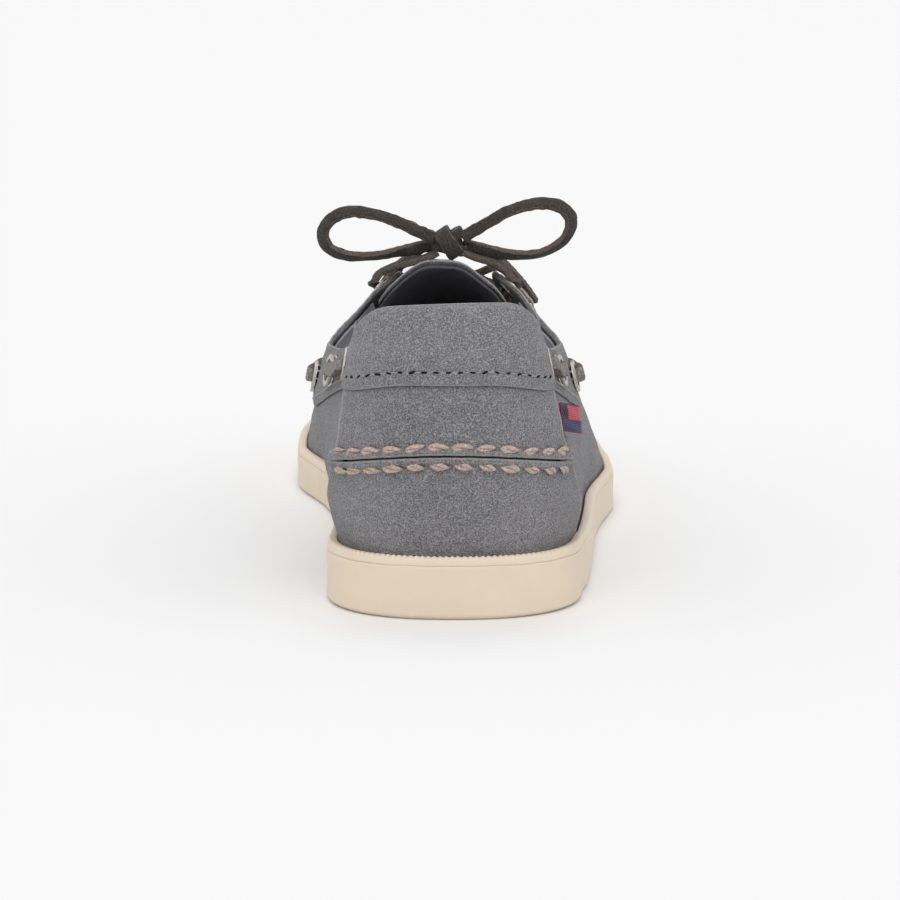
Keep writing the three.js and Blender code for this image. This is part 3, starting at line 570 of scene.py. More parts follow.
def smudge_group():
    """Slight handling marks and unevenness for smooth finishes."""
    tree = bpy.data.node_groups.new("Smudges", "ShaderNodeTree")
    socket(tree, "Scale", "Float", 60.0)
    socket(tree, "Colour", "Color", (0.8, 0.7, 0.55, 1))
    socket(tree, "Mark", "Color", (0.6, 0.5, 0.4, 1))
    socket(tree, "Amount", "Float", 0.25)
    socket(tree, "Rough Low", "Float", 0.45)
    socket(tree, "Rough High", "Float", 0.6)
    socket(tree, "Colour", "Color", output=True)
    socket(tree, "Roughness", "Float", output=True)
    socket(tree, "Height", "Float", output=True)
    start, end = node(tree, "NodeGroupInput"), node(tree, "NodeGroupOutput")
    where = node(tree, "ShaderNodeTexCoord").outputs["Object"]
    marks = noise(tree, where, 60, 5, 0.6)
    tree.links.new(start.outputs["Scale"], marks.node.inputs["Scale"])
    grain = noise(tree, where, 2600, 2, 0.6)
    mask = math_node(tree, "MULTIPLY", ramp(tree, marks, 0.42, 0.75), start.outputs["Amount"])
    colour = mix_colour(tree, mask, start.outputs[1], start.outputs["Mark"])
    tree.links.new(colour, end.inputs["Colour"])
    span = math_node(tree, "SUBTRACT", start.outputs["Rough High"], start.outputs["Rough Low"])
    rough = math_node(tree, "ADD", math_node(tree, "MULTIPLY", marks, span), start.outputs["Rough Low"])
    tree.links.new(rough, end.inputs["Roughness"])
    tree.links.new(math_node(tree, "ADD", grain, marks), end.inputs["Height"])
    return tree


GROUPS = {}


def group(name):
    if name not in GROUPS:
        GROUPS[name] = {"nap": nap_group, "smudge": smudge_group}[name]()
    return GROUPS[name]


def surface(name, **values):
    """New material with a Principled shader, whose even values are set on its sockets."""
    material = bpy.data.materials.new(name)
    material.use_nodes = True
    tree = material.node_tree
    shader = tree.nodes["Principled BSDF"]
    for key, value in values.items():
        shader.inputs[key.replace("_", " ")].default_value = value
    return material, tree, shader


def raise_with(tree, shader, height, strength, distance):
    bump = node(tree, "ShaderNodeBump", Strength=strength, Distance=distance)
    tree.links.new(height, bump.inputs["Height"])
    tree.links.new(bump.outputs["Normal"], shader.inputs["Normal"])


def place(tree, name, **values):
    made = node(tree, "ShaderNodeGroup")
    made.node_tree = group(name)
    for key, value in values.items():
        made.inputs[key.replace("_", " ")].default_value = value
    return made


def napped(name, dark, light, fibre=1500.0, patch=190.0, bump=0.5, sheen=0.25):
    material, tree, shader = surface(name, Roughness=0.95, Sheen_Weight=sheen, Sheen_Roughness=0.5,
                                     Specular_IOR_Level=0.15)
    nap = place(tree, "nap", Fibre_Scale=fibre, Patch_Scale=patch, Dark=dark, Light=light)
    tree.links.new(nap.outputs["Colour"], shader.inputs["Base Color"])
    raise_with(tree, shader, nap.outputs["Height"], bump, 0.0004)
    return material


def smudged(name, colour, mark, amount=0.25, rough=(0.45, 0.6), scale=60.0, bump=0.12, **values):
    material, tree, shader = surface(name, **values)
    smudge = place(tree, "smudge", Scale=scale, Mark=mark, Amount=amount,
                   Rough_Low=rough[0], Rough_High=rough[1])
    smudge.inputs[1].default_value = colour
    tree.links.new(smudge.outputs["Colour"], shader.inputs["Base Color"])
    tree.links.new(smudge.outputs["Roughness"], shader.inputs["Roughness"])
    raise_with(tree, shader, smudge.outputs["Height"], bump, 0.0003)
    return material


def grey(value, tint=(1, 1, 1)):
    return tuple(value * k for k in tint) + (1,)


class Finishes:
    """Materials, made once and shared."""

    made = {}

    @classmethod
    def get(cls, name):
        if name not in cls.made:
            cls.made[name] = getattr(cls, name)()
        return cls.made[name]

    def suede():
        tint = bpy.context.scene.deck_shoe.suede_colour
        dark, light = (tuple(k * share for k in tint) + (1,) for share in (0.4, 1.65))
        return napped("suede", dark, light, 2300, 320, 0.9)

    # Lighter than the suede: raw nap at the cuts, and a painted highlight where it lies on the rounded outer
    # edges and the collar's fold.
    def suede_edge_and_highlight():
        cast = (1, 0.98, 0.96)
        return napped("suede_cut_edge_and_highlight", grey(0.24, cast), grey(0.5, cast), 2200, 700, 0.8)

    def flesh():
        cast = (1, 1, 1.04)
        return napped("flesh_side", grey(0.07, cast), grey(0.2, cast), 1500, 520, 0.8)

    def lining():
        cast = (1, 1, 1.15)
        return napped("lining_leather", grey(0.10, cast), grey(0.18, cast), 2500, 260, 0.3, 0.1)

    def footbed():
        cast = (1, 1, 1.1)
        return napped("footbed_leather", grey(0.03, cast), grey(0.06, cast), 2600, 120, 0.25, 0.05)

    def board():
        return napped("fibre_board", (0.2, 0.16, 0.12, 1), (0.34, 0.28, 0.21, 1), 900, 60, 0.3, 0.0)

    def rubber():
        tint = bpy.context.scene.deck_shoe.sole_colour
        return smudged("sole_rubber", tuple(tint) + (1,), tuple(k * 0.86 for k in tint) + (1,),
                       0.5, (0.5, 0.62), 45, 0.1, Subsurface_Weight=0.0)

    def thong():
        dark, light = (0.036, 0.033, 0.031, 1), (0.085, 0.077, 0.070, 1)
        return napped("thong_leather", dark, light, 1700, 350, 0.6, 0.1)

    def thong_rough():
        dark, light = (0.13, 0.12, 0.115, 1), (0.36, 0.33, 0.315, 1)
        return napped("thong_flesh_side", dark, light, 1500, 600, 0.9, 0.2)

    def thong_edge():
        dark, light = (0.08, 0.066, 0.056, 1), (0.21, 0.165, 0.135, 1)
        return napped("thong_cut_edge", dark, light, 1900, 500, 0.7, 0.1)

    def thread():
        return napped("waxed_thread", (0.40, 0.29, 0.235, 1), (0.74, 0.58, 0.49, 1), 1900, 420, 0.6, 0.1)

    def fine_thread():
        return napped("fine_thread", grey(0.25), grey(0.45), 3000, 700, 0.4, 0.1)

    # Near black marks standing in for needle holes: painted shade of the shadow inside each hole.
    def hole():
        return napped("needle_hole_shade", grey(0.006), grey(0.02), 2500, 300, 0.1, 0.0)

    def metal():
        return smudged("eyelet_metal", (0.62, 0.58, 0.52, 1), (0.3, 0.28, 0.25, 1), 0.5, (0.22, 0.4), 900,
                       0.05, Metallic=1.0)

    def red_tape():
        return woven("woven_red", (0.42, 0.035, 0.06, 1), (0.62, 0.10, 0.13, 1))

    def navy_tape():
        return woven("woven_navy", (0.012, 0.02, 0.07, 1), (0.045, 0.07, 0.18, 1))

    def dark_tape():
        return woven("woven_dark", (0.01, 0.012, 0.02, 1), (0.03, 0.032, 0.045, 1))


def woven(name, dark, light):
    """Narrow tape with a plain weave of fine threads."""
    material, tree, shader = surface(name, Roughness=0.85, Sheen_Weight=0.2)
    where = node(tree, "ShaderNodeTexCoord").outputs["Object"]
    waves = []
    for direction in ("Y", "Z"):
        wave = node(tree, "ShaderNodeTexWave", bands_direction=direction, Scale=520.0, Distortion=0.4)
        tree.links.new(where, wave.inputs["Vector"])
        waves.append(wave.outputs["Fac"])
    weave = math_node(tree, "MULTIPLY", waves[0], waves[1])
    tree.links.new(mix_colour(tree, weave, dark, light), shader.inputs["Base Color"])
    raise_with(tree, shader, weave, 0.6, 0.0002)
    return material


def finish_of(*names):
    return [Finishes.get(name) for name in names]


def ready(obj, body, slot, *nodes):
    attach(obj, body)
    if nodes:
        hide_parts(*nodes)
    return obj


ROOT = next(body for body, nodes in frame["record"]["behaviour"]["bodies"].items() if "outsole" in nodes)


def upper_finish():
    return finish_of("suede", "flesh", "flesh", "suede_edge_and_highlight")


# ---- sole unit -------------------------------------------------------------------------
def even_sides(gap):
    """Places round the outline, the same on both sides, with even steps along the edge."""
    s = np.linspace(0, 1, 4000)
    ring = sole_point(s, 0.0, lambda d: 0 * d)[:, :2]
    length = np.concatenate([[0], np.cumsum(np.linalg.norm(np.diff(ring, axis=0), axis=1))])
    half = np.interp(np.linspace(0, length[-1], int(length[-1] / gap)), length, s)
    return np.concatenate([half, -half[-2:0:-1]]), length[-1]


TOOTH_HEIGHT = 0.55
TOOTH_GAP = 1.75


def make_outsole():
    s, side_length = even_sides(0.4)
    count = len(s)
    arc = np.minimum(np.arange(count), count - np.arange(count)) * side_length / (count // 2)
    at_heel = 1 - smooth(52, 66, arc)
    tooth = TOOTH_HEIGHT * at_heel * (0.5 + 0.5 * np.cos(2 * np.pi * arc / TOOTH_GAP)) ** 0.8
    wave = 0.06 * np.sin(arc * 0.21) + 0.05 * np.sin(arc * 0.53 + 1)

    def ring(inset, z, lift=0.0):
        points = sole_point(s, inset, z)
        points[:, 2] += lift
        return points

    flat = lambda z: lambda d: 0 * d + z
    above = lambda rise: lambda d: WALL_TOP(d) + rise
    rings = [
        ring(2.2, flat(0)), ring(1.5, flat(0)), ring(1.1, flat(0.2)),
        ring(0.3, flat(0.85)), ring(0.08, flat(1.15)), ring(0.0, flat(1.6)),
        ring(0.1, lambda d: WALL_TOP(d) * 0.5), ring(0.0, above(-1.2)),
        ring(0.0, above(-0.35), wave), ring(0.06, above(-0.16), wave), ring(0.34, above(0.0), wave),
        ring(0.12, above(0.18), wave), ring(0.1, above(0.4), wave),
        ring(0.35, above(1.5)), ring(0.55, above(RIM_RISE - 0.35), tooth * 0.5),
        ring(0.85, above(RIM_RISE - 0.1), tooth), ring(1.2, above(RIM_RISE), tooth),
        ring(2.1, above(RIM_RISE), tooth * 0.3), ring(RIM_WIDTH - 0.2, above(RIM_RISE - 0.05)),
        ring(RIM_WIDTH, above(RIM_RISE - 0.3)),
        ring(RIM_WIDTH, lambda d: SOLE_FLOOR - FLOOR_DROP(d)),
    ]
    obj = stack("outsole", rings, finish_of("rubber"))
    obj.data.set_sharp_from_angle(angle=math.radians(50))
    return ready(obj, ROOT, "rubber_sole", "outsole")


def make_slab(name, inset, bottom, thick, finish, slot):
    s, _ = even_sides(2.5)
    levels = ((0.5, 0), (0, 0.4), (0, thick - 0.7), (0.3, thick - 0.2), (0.9, thick))
    rings = [sole_point(s, inset + more, lambda d, z=z: bottom + z - FLOOR_DROP(d)) for more, z in levels]
    obj = stack(name, rings, finish_of(finish))
    obj.data.set_sharp_from_angle(angle=math.radians(50))
    return ready(obj, ROOT, slot, name)


# ---- upper --------------------------------------------------------------------------------
def place_along(s_from, s_to, level, gap):
    """Places at even steps along a line on the skin: s, t and the line's length."""
    s = np.linspace(s_from, s_to, 600)
    line = skin(s, level(s))
    length = np.concatenate([[0], np.cumsum(np.linalg.norm(np.diff(line, axis=0), axis=1))])
    count = max(2, int(round(length[-1] / gap)))
    s = np.interp((np.arange(count) + 0.5) / count * length[-1], length, s)
    return s, level(s), length[-1]


def column_length(s):
    """Length of a column of the upper, so that a share of it can be given in millimetres."""
    t = np.linspace(0, 1, 17)
    s = np.asarray(s, float)
    line = skin(s[..., None] + 0 * t, 0 * s[..., None] + t)
    return np.linalg.norm(np.diff(line, axis=-2), axis=-1).sum(-1)


def arc_table(level, span):
    """Distance along a line on the skin, from s."""
    s = np.linspace(-span, span, 401)
    line = skin(s, level(s))
    length = np.concatenate([[0], np.cumsum(np.linalg.norm(np.diff(line, axis=0), axis=1))])
    return lambda q: np.interp(q, s, length)


STITCH_GAP = 6.35
RIDGE_ARC = arc_table(ridge_t, SEAM_S)


def ridge_bead(s, t):
    """How far the leather stands out beside the ridge seam, pinched at each stitch."""
    away = np.abs(t - ridge_t(s)) * column_length(s)
    arc = RIDGE_ARC(s)
    pinch = 0.84 + 0.16 * np.cos(2 * np.pi * arc / STITCH_GAP)
    worn = 0.10 * np.sin(arc * 1.9) + 0.08 * np.sin(arc * 3.7 + 1)
    lip = (1.75 + worn) * (1 - smooth(1.7, 2.7, away)) * pinch
    return lip + 0.3 * (1 - smooth(2.0, 7.0, away))


def heel_side_lift(s, t):
    """How far the heel panels stand off at their side edges, over the quarters."""
    return 0.8 * (1 - smooth(0.004, 0.045, seam_s(t) - np.abs(s)))


HEEL_ENDS = (lambda t: -seam_s(t) - 0.004, lambda t: seam_s(t) + 0.004)
# Rows of the heel panels' outside that take the light edge finish: a painted highlight along the seams and
# cuts, over lighter raw nap.
HEEL_RIM = (7, 3)
RIDGE_SLIT = 0.25


def make_heel():
    finish = upper_finish()
    lower = panel(
        "heel_panel", HEEL_ENDS,
        (fixed(-SKIRT_T), lambda s: ridge_t(s) - RIDGE_SLIT / column_length(s)),
        lambda s, t: -ridge_bead(s, t) - heel_side_lift(s, t), LEATHER,
        (190, 90), (135, 42), finish, 0.9, HEEL_RIM)
    ready(lower, ROOT, "suede", "heel_panel")
    under_band = lambda s, t: smooth(-0.02, 0.02, t - band_t(s))
    upper = panel(
        "heel_upper_panel", HEEL_ENDS,
        (lambda s: ridge_t(s) + RIDGE_SLIT / column_length(s), lambda s: band_t(s) + 0.05),
        lambda s, t: -ridge_bead(s, t) - heel_side_lift(s, t) + 0.9 * under_band(s, t),
        lambda s, t: LEATHER - 0.6 * under_band(s, t),
        (170, 60), (100, 22), finish, 0.9, HEEL_RIM)
    ready(upper, ROOT, "suede", "heel_upper_panel")
    hidden = finish_of("board", "board", "board")
    stiffener = panel(
        "heel_stiffener", (fixed(-SEAM_TOP_S), fixed(SEAM_TOP_S)),
        (fixed(-SKIRT_T), lambda s: band_t(s) - 0.02), LEATHER + GAP, STIFFENER, (50, 24), (120, 50), hidden)
    ready(stiffener, ROOT, "board", "heel_stiffener")
    lining = finish_of("lining", "lining", "lining")
    inside = panel(
        "heel_lining", (fixed(-SEAM_TOP_S - 0.01), fixed(SEAM_TOP_S + 0.01)),
        (fixed(-SKIRT_T), lambda s: band_t(s) + 0.03), LINING_OUT, LINING, (60, 30), (120, 52), lining)
    ready(inside, ROOT, "lining_leather", "heel_lining")
    make_collar_band()


def make_collar_band():
    """Band folded over the thong along the back of the collar."""
    leaf = (LEATHER * 2 + TUNNEL) / 2
    down = np.concatenate([[0, 0.003, 0.007, 0.012, 0.018], np.linspace(0.026, 1, 120)])
    a, b = np.meshgrid(steps(150, 90), down, indexing="ij")
    s = lerp(-SEAM_TOP_S - 0.006, SEAM_TOP_S + 0.006, a)
    tall = column_length(s)
    top = 1 - leaf / tall
    b0, b1 = 0.44, 0.58
    low = band_t(s) - 0.6 / tall
    outside = lerp(low, top, np.clip(b / b0, 0, 1))
    inside = lerp(top, band_t(s) + 0.05, np.clip((b - b1) / (1 - b1), 0, 1))
    t = np.where(b < b0, outside, np.where(b > b1, inside, top))
    angle = np.clip((b - b0) / (b1 - b0), 0, 1) * np.pi
    up = skin(s, top) - skin(s, top - 0.02)
    up /= np.linalg.norm(up, axis=-1, keepdims=True)
    proud = 1.2 * (1 - smooth(0.02, 0.30, t - low)) * (b < b0)
    lace = 0.45 * np.exp(-((skin(s, t)[..., 2] - 72.5) / 3.2) ** 2) * (b < b0)
    end = edge_round(np.minimum(b * 52, np.minimum(a, 1 - a) * 130), 0.8)

    def leaf_at(radius, soft):
        depth = leaf - radius * np.cos(angle) - (proud + lace) + soft + (b < b1) * ripple(s, t) * 0.7
        return under(s, t, depth) + up * (radius * np.sin(angle))[..., None]

    band = wall("collar_band", leaf_at(leaf, end), leaf_at(TUNNEL / 2 + 0.2, -0.3 * end),
                finish_of("suede", "lining", "flesh", "suede_edge_and_highlight"))
    # The top of the fold takes the light edge finish: a painted highlight where the collar's top turns up to
    # the light.
    fold = np.abs(b[:-1, :-1] - 0.5) < 0.012
    slots = np.array([p.material_index for p in band.data.polygons])
    slots[:fold.size][fold.reshape(-1)] = 3
    slots[:fold.size][(b[:-1, :-1] > 0.515).reshape(-1)] = 1
    band.data.polygons.foreach_set("material_index", slots)
    return ready(band, ROOT, "suede", "collar_band")


SIDES = (("medial", -1), ("lateral", 1))


def spot_at(side, share, z):
    s = side * share
    return s, float(share_at_z(s, z))


def mm_s(s, t, mm):
    return mm * 0.002 / np.linalg.norm(skin(s + 0.001, t) - skin(s - 0.001, t))


LACE_BACK_Z, LACE_EXIT_Z = 73.2, 70.3


def exit_spot(side):
    s = side * (SEAM_TOP_S + 0.004)
    t = float(share_at_z(s, LACE_EXIT_Z))
    return s + side * mm_s(s, t, 4.9), t


def eyelet_spots(side):
    return {
        "heel": exit_spot(side),
        "rear": spot_at(side, s_at_top(55), 61.6),
        "middle": spot_at(side, s_at_top(79), 56.3),
        "side": spot_at(side, s_at_top(98), 57),
        "lower": (side * s_at_top(143), 0.9),
        "upper": (side * s_at_top(124.5), 0.9),
    }


SPOTS = {side: eyelet_spots(side) for _, side in SIDES}


def stand(spot, depth):
    """Matrix with its Z axis out of the skin at a spot, in the row frame."""
    normal = Vector(skin_normal(*spot))
    turn = Vector((0, 0, 1)).rotation_difference(normal).to_matrix().to_4x4()
    return Matrix.Translation(Vector(to_frame(under(spot[0], spot[1], depth)))) @ turn


def lathe(name, outline, matrix, materials, sides=40):
    ring = np.array(outline, float)
    angle = np.linspace(0, 2 * np.pi, sides, endpoint=False)
    points = np.stack([np.outer(np.cos(angle), ring[:, 0]), np.outer(np.sin(angle), ring[:, 0]),
                       np.broadcast_to(ring[:, 1], (sides, len(ring)))], -1)
    n, m = points.shape[:2]
    grid = np.arange(n * m).reshape(n, m)
    right, down = np.roll(grid, -1, axis=0), np.roll(grid, -1, axis=1)
    both = np.roll(right, -1, axis=1)
    faces = np.stack([grid, right, both, down], -1).reshape(-1, 4)
    flat = points.reshape(-1, 3)
    if volume_sign(flat, faces) < 0:
        faces = faces[:, ::-1]
    mesh = bpy.data.meshes.new(name)
    mesh.from_pydata((flat * MM).tolist(), [], faces.tolist())
    mesh.polygons.foreach_set("use_smooth", [True] * len(mesh.polygons))
    mesh.transform(matrix)
    return new_object(name, mesh, *materials)


def cut_holes(obj, spots, radius):
    """Round holes through a piece, with leather edges."""
    bpy.ops.object.select_all(action="DESELECT")
    cutters = []
    for spot in spots:
        bpy.ops.mesh.primitive_cylinder_add(vertices=36, radius=radius * MM, depth=9 * MM)
        cutter = bpy.context.object
        cutter.data.transform(stand(spot, LEATHER / 2))
        cutters.append(cutter)
    cutter = join("cutter", cutters)
    cut = obj.modifiers.new("holes", "BOOLEAN")
    cut.solver = "EXACT"
    cut.operation = "DIFFERENCE"
    cut.object = cutter
    solid = bpy.data.meshes.new_from_object(obj.evaluated_get(bpy.context.evaluated_depsgraph_get()))
    obj.modifiers.clear()
    obj.data = solid
    bpy.data.objects.remove(cutter)
    return obj


def side_ends(side, back, front):
    """The two ends of a side panel, in order of s."""
    return (back, front) if side > 0 else (lambda t: -front(t), lambda t: -back(t))


def pocket(s, t):
    """Depth of a quarter's lining: behind the thong, and close to the leather at the edge."""
    close = smooth(0.95, 0.985, t) * smooth(0.05, 0.1, np.abs(s) - SEAM_TOP_S)
    return lerp(LINING_OUT, LEATHER + GAP, close)


def make_quarters():
    finish = upper_finish()
    for name, side in SIDES:
        ends = side_ends(side, lambda t: seam_s(t) - 0.01, fixed(FRONT_S - 0.0012))
        low = panel(
            f"quarter_{name}", ends, (fixed(-SKIRT_T), lambda s: side_band_t(s) + 0.035),
            lambda s, t: 1.15 * (1 - smooth(0.001, 0.02, np.abs(s) - seam_s(t)))
            + 0.9 * smooth(-0.03, 0.01, t - side_band_t(s)),
            lambda s, t: LEATHER - 0.9 * (1 - smooth(0.001, 0.02, np.abs(s) - seam_s(t))),
            (200, 70), (130, 45), finish)
        ready(low, ROOT, "suede", f"quarter_{name}")
        collar = panel(
            f"collar_side_{name}", side_ends(side, lambda t: seam_s(t) + 0.001, fixed(FRONT_S - 0.0012)),
            (side_band_t, fixed(1)),
            lambda s, t: -0.35 * (1 - smooth(0.05, 0.3, t - side_band_t(s))), LEATHER,
            (170, 40), (120, 16), finish)
        ready(collar, ROOT, "suede", f"collar_side_{name}")
        cut_holes(collar, SPOTS[side].values(), EYELET_BORE + EYELET_LIP + 0.1)
        lining = panel(
            f"quarter_lining_{name}", side_ends(side, lambda t: seam_s(t), fixed(s_at_top(112))),
            (fixed(-SKIRT_T), fixed(0.985)), pocket, LINING, (60, 50), (90, 60),
            finish_of("lining", "lining", "suede_edge_and_highlight"))
        ready(lining, ROOT, "lining_leather", f"quarter_lining_{name}")


# ---- forefoot --------------------------------------------------------------------------
def apron_edge_arc(s):
    table = np.linspace(FRONT_S, 2 - FRONT_S, 801)
    line = top_point(table)
    length = np.concatenate([[0], np.cumsum(np.linalg.norm(np.diff(line, axis=0), axis=1))])
    return np.interp(s, table, length)


CROWN = curve([(161, 7.5), (200, 11), (240, 10), (268, 4)])


def apron_point(share, w, rise):
    s = lerp(s_at_top(APRON_BACK), 0.994, share)
    left, right = top_point(-s), top_point(s)
    span = right - left
    keep = np.clip(1 - 2.6 / np.linalg.norm(span, axis=-1), 0.3, None)
    point = left + span * (0.5 + (w - 0.5) * keep)[..., None]
    v = np.abs(2 * w - 1)
    gather = 0.35 * np.cos(2 * np.pi * apron_edge_arc(s) / STITCH_GAP) * smooth(0.86, 0.97, v)
    roll = 0.7 * smooth(0.88, 0.96, v) - 1.3 * smooth(0.975, 1, v)
    point[..., 2] += CROWN(point[..., 1]) * (1 - v**2.2) + rise + gather + roll
    return point


def make_forefoot():
    finish = upper_finish()
    ends = (fixed(FRONT_S + 0.0012), fixed(2 - FRONT_S - 0.0012))

    def gathered(s, t):
        near = smooth(0.84, 0.95, t)
        pull = np.cos(2 * np.pi * apron_edge_arc(s) / STITCH_GAP)
        return -1.2 * near * (1 + 0.35 * pull) + 0.25 * pull * smooth(0.6, 0.84, t) * (1 - near)

    vamp = panel("vamp", ends, (fixed(-SKIRT_T), fixed(0.985)), gathered, LEATHER, (420, 60),
                 (300, 40), finish, 0.8)
    ready(vamp, ROOT, "suede", "vamp")
    lining = panel("vamp_lining", ends, (fixed(-SKIRT_T), fixed(0.93)), LEATHER + GAP, LINING, (120, 24),
                   (300, 40), finish_of("lining", "lining", "lining"))
    ready(lining, ROOT, "lining_leather", "vamp_lining")
    a, w = np.meshgrid(steps(220, 110), steps(90, 60), indexing="ij")
    apron = wall("apron", apron_point(a, w, 1.4), apron_point(a, w, -0.4), finish)
    ready(apron, ROOT, "suede", "apron")


# ---- tongue ------------------------------------------------------------------------------
TONGUE_Z = curve([(104, 88.4), (110, 87.2), (127, 81.2), (140, 76.4), (150, 72.8), (164, 69.3)])
TONGUE_HALF = curve([(104, 0.5), (112, 0.46), (120, 0.40), (126, 0.36), (164, 0.38)])
TONGUE_CENTRE = curve([(104, -3.4), (125, -2), (164, 0)])
TONGUE_ARCH = 14.0


def tongue_height(x, d):
    return TONGUE_Z(d) - TONGUE_ARCH * ((x - TONGUE_CENTRE(d)) / (TONGUE_WIDTH / 2)) ** 2


def make_tongue():
    a, b = np.meshgrid(steps(70, 60), steps(60, 42), indexing="ij")
    v = 2 * b - 1
    far = lerp(TONGUE_BASE, TONGUE_TIP, 1 - 0.12 * np.abs(v) ** 3)
    d = lerp(TONGUE_BASE, far, a)
    x = TONGUE_CENTRE(d) + v * TONGUE_WIDTH * TONGUE_HALF(d)
    z = tongue_height(x, d)
    z = z + 0.25 * np.sin(0.5 * x + 0.3 * d) * smooth(0.2, 0.8, a)
    cut = edge_round(np.minimum((1 - a) * 60, np.minimum(b, 1 - b) * 42), 0.6)

    def leaf(rise):
        return np.stack([x, d, z + rise], -1)

    outer = wall("tongue", leaf(-cut), leaf(-1.5 + 0.2 * cut), upper_finish())
    inner_x = TONGUE_CENTRE(d) + v * (TONGUE_WIDTH * TONGUE_HALF(d) - 0.5)
    back = np.stack([inner_x, d + 0.5 * a, z - 1.55], -1)
    inner = back - np.array([0, 0, TONGUE_LINING])
    under_leaf = wall("tongue_lining", back, inner, finish_of("lining", "lining", "lining"))
    tongue = join("tongue", [outer, under_leaf])
    return ready(tongue, "tongue", "suede", "tongue")


# ---- eyelets ----------------------------------------------------------------------------
def make_eyelets():
    bore, lip = EYELET_BORE, EYELET_LIP
    outline = [(bore + 0.15, -LEATHER - 0.5), (bore, -LEATHER - 0.2), (bore, 0.1), (bore + 0.12, 0.42),
               (bore + 0.42, 0.68), (bore + 0.85, 0.7), (bore + 1.2, 0.5), (bore + 1.4, 0.22),
               (bore + 1.3, 0.1), (bore + lip - 0.05, 0.1), (bore + lip - 0.1, -LEATHER - 0.3)]
    for name, side in SIDES:
        for place_name, spot in SPOTS[side].items():
            obj = lathe(f"eyelet_{place_name}_{name}", outline, stand(spot, -0.25), finish_of("metal"))
            node_name = [obj.name] if obj.name in frame["nodes"] else []
            ready(obj, ROOT, "eyelet_metal", *node_name)


# ---- lacing --------------------------------------------------------------------------------
OUTSIDE = -(EYELET_RAISE + EYELET_LIP + 2 * GAP + LACE_THICK / 2)
INSIDE = LEATHER + GAP + LACE_THICK / 2
KNOT = np.array([-1.0, 124.0, 91.0])
UP = np.array([0.0, 0.0, 1.0])


def on_skin(s, t, depth):
    return under(s, t, depth), skin_normal(s, t)


def free(x, d, z):
    return np.array([x, d, z], float), UP


def hop(spot, side, start, end):
    step = side * mm_s(*spot, 1)
    return [on_skin(spot[0] + mm * step, spot[1], depth)
            for mm, depth in ((-4, start), (-1.75, start), (1.75, end), (4, end))]


def between(a, b, depth, count):
    shares = (np.arange(count) + 1) / (count + 1)
    return [on_skin(lerp(a[0], b[0], f), lerp(a[1], b[1], f), depth) for f in shares]


def side_lace(side):
    spot = SPOTS[side]
    return [
        *hop(spot["heel"], side, INSIDE, OUTSIDE), *between(spot["heel"], spot["rear"], OUTSIDE, 1),
        *hop(spot["rear"], side, OUTSIDE, INSIDE), *between(spot["rear"], spot["middle"], INSIDE, 2),
        *hop(spot["middle"], side, INSIDE, OUTSIDE), *between(spot["middle"], spot["side"], OUTSIDE, 1),
        *hop(spot["side"], side, OUTSIDE, INSIDE),
        *between(spot["side"], spot["lower"], INSIDE + GAP, 6),
        *hop(spot["lower"], side, INSIDE, OUTSIDE),
    ]


# From the upper eyelets to the knot.
STRANDS = {
    -1: [(-24.2, 121, 78.5), (-22.6, 121.5, 81.8), (-18, 122, 84), (-12.5, 122.5, 85.2),
         (-7.5, 123, 86.6), (-4.6, 123.6, 88.2)],
    1: [(19.2, 122, 79.2), (17, 122, 82.6), (12.5, 122.4, 85.2), (7, 123, 86.6), (3, 123.6, 88.4)],
}


def front_lace(side):
    """From the lower eyelet over the tongue, up through the far eyelet and back to the knot."""
    upper = SPOTS[-side]["upper"]
    lift = 1.4 if side > 0 else 3.9

    def rise(x, d, more):
        return free(x, d, tongue_height(x, d) + more)

    edge_z = top_point(s_at_top(137) * side)[2] + lift + 0.5
    through_hole = [(under(*upper, depth), np.array([side, 0.0, 0.0]))
                    for depth in (INSIDE + 0.1, LEATHER - 0.3, -1.2)]
    return [
        on_skin(s_at_top(139) * side, 0.97, OUTSIDE), free(side * 13.5, 137, edge_z),
        rise(side * 7, 135.5, lift + 2.5), rise(0, 133, lift + 0.7), rise(-side * 8, 129.5, 2.5),
        on_skin(lerp(upper[0], -side * s_at_top(130), 0.55), 0.955, INSIDE), *through_hole,
        *[free(*p) for p in STRANDS[-side]],
    ]


def lace_route():
    around = []
    for s in np.linspace(-SEAM_TOP_S + 0.012, SEAM_TOP_S - 0.012, 15):
        z = lerp(LACE_BACK_Z, LACE_EXIT_Z, smooth(0.06, SEAM_TOP_S, abs(s)))
        around.append(on_skin(s, share_at_z(s, z), INSIDE))
    return [*front_lace(-1)[::-1], *side_lace(-1)[::-1], *around, *side_lace(1), *front_lace(1)]


def rough_section(count, width, thick, seed, fray=0.22):
    """Strap sections along a thong whose cut edges are slightly ragged."""
    rng = np.random.default_rng(seed)
    base = strap_section(width, thick)
    sections = np.repeat(base[None], count, axis=0)
    edge = np.abs(base[:, 0]) > width / 2 - 0.5
    ragged = rng.normal(0, fray, (count, len(base)))
    ragged[1:-1] = 0.25 * ragged[:-2] + 0.5 * ragged[1:-1] + 0.25 * ragged[2:]
    sections[:, edge, 0] += ragged[:, edge] * np.sign(base[edge, 0])
    sections *= 1 + 0.05 * np.sin(np.arange(count) * 0.13 + seed)[:, None, None]
    return sections


def edge_slots(obj, sides, width):
    """Gives the ragged narrow sides of a strap the cut-edge finish."""
    base = strap_section(width, LACE_THICK)
    narrow = (np.abs(base[:, 0]) > width / 2 - 0.2) & (np.abs(np.roll(base, -1, 0)[:, 0]) > width / 2 - 0.2)
    slots = np.array([narrow[i % sides] for i in range(len(obj.data.polygons))], int)
    obj.data.polygons.foreach_set("material_index", slots)


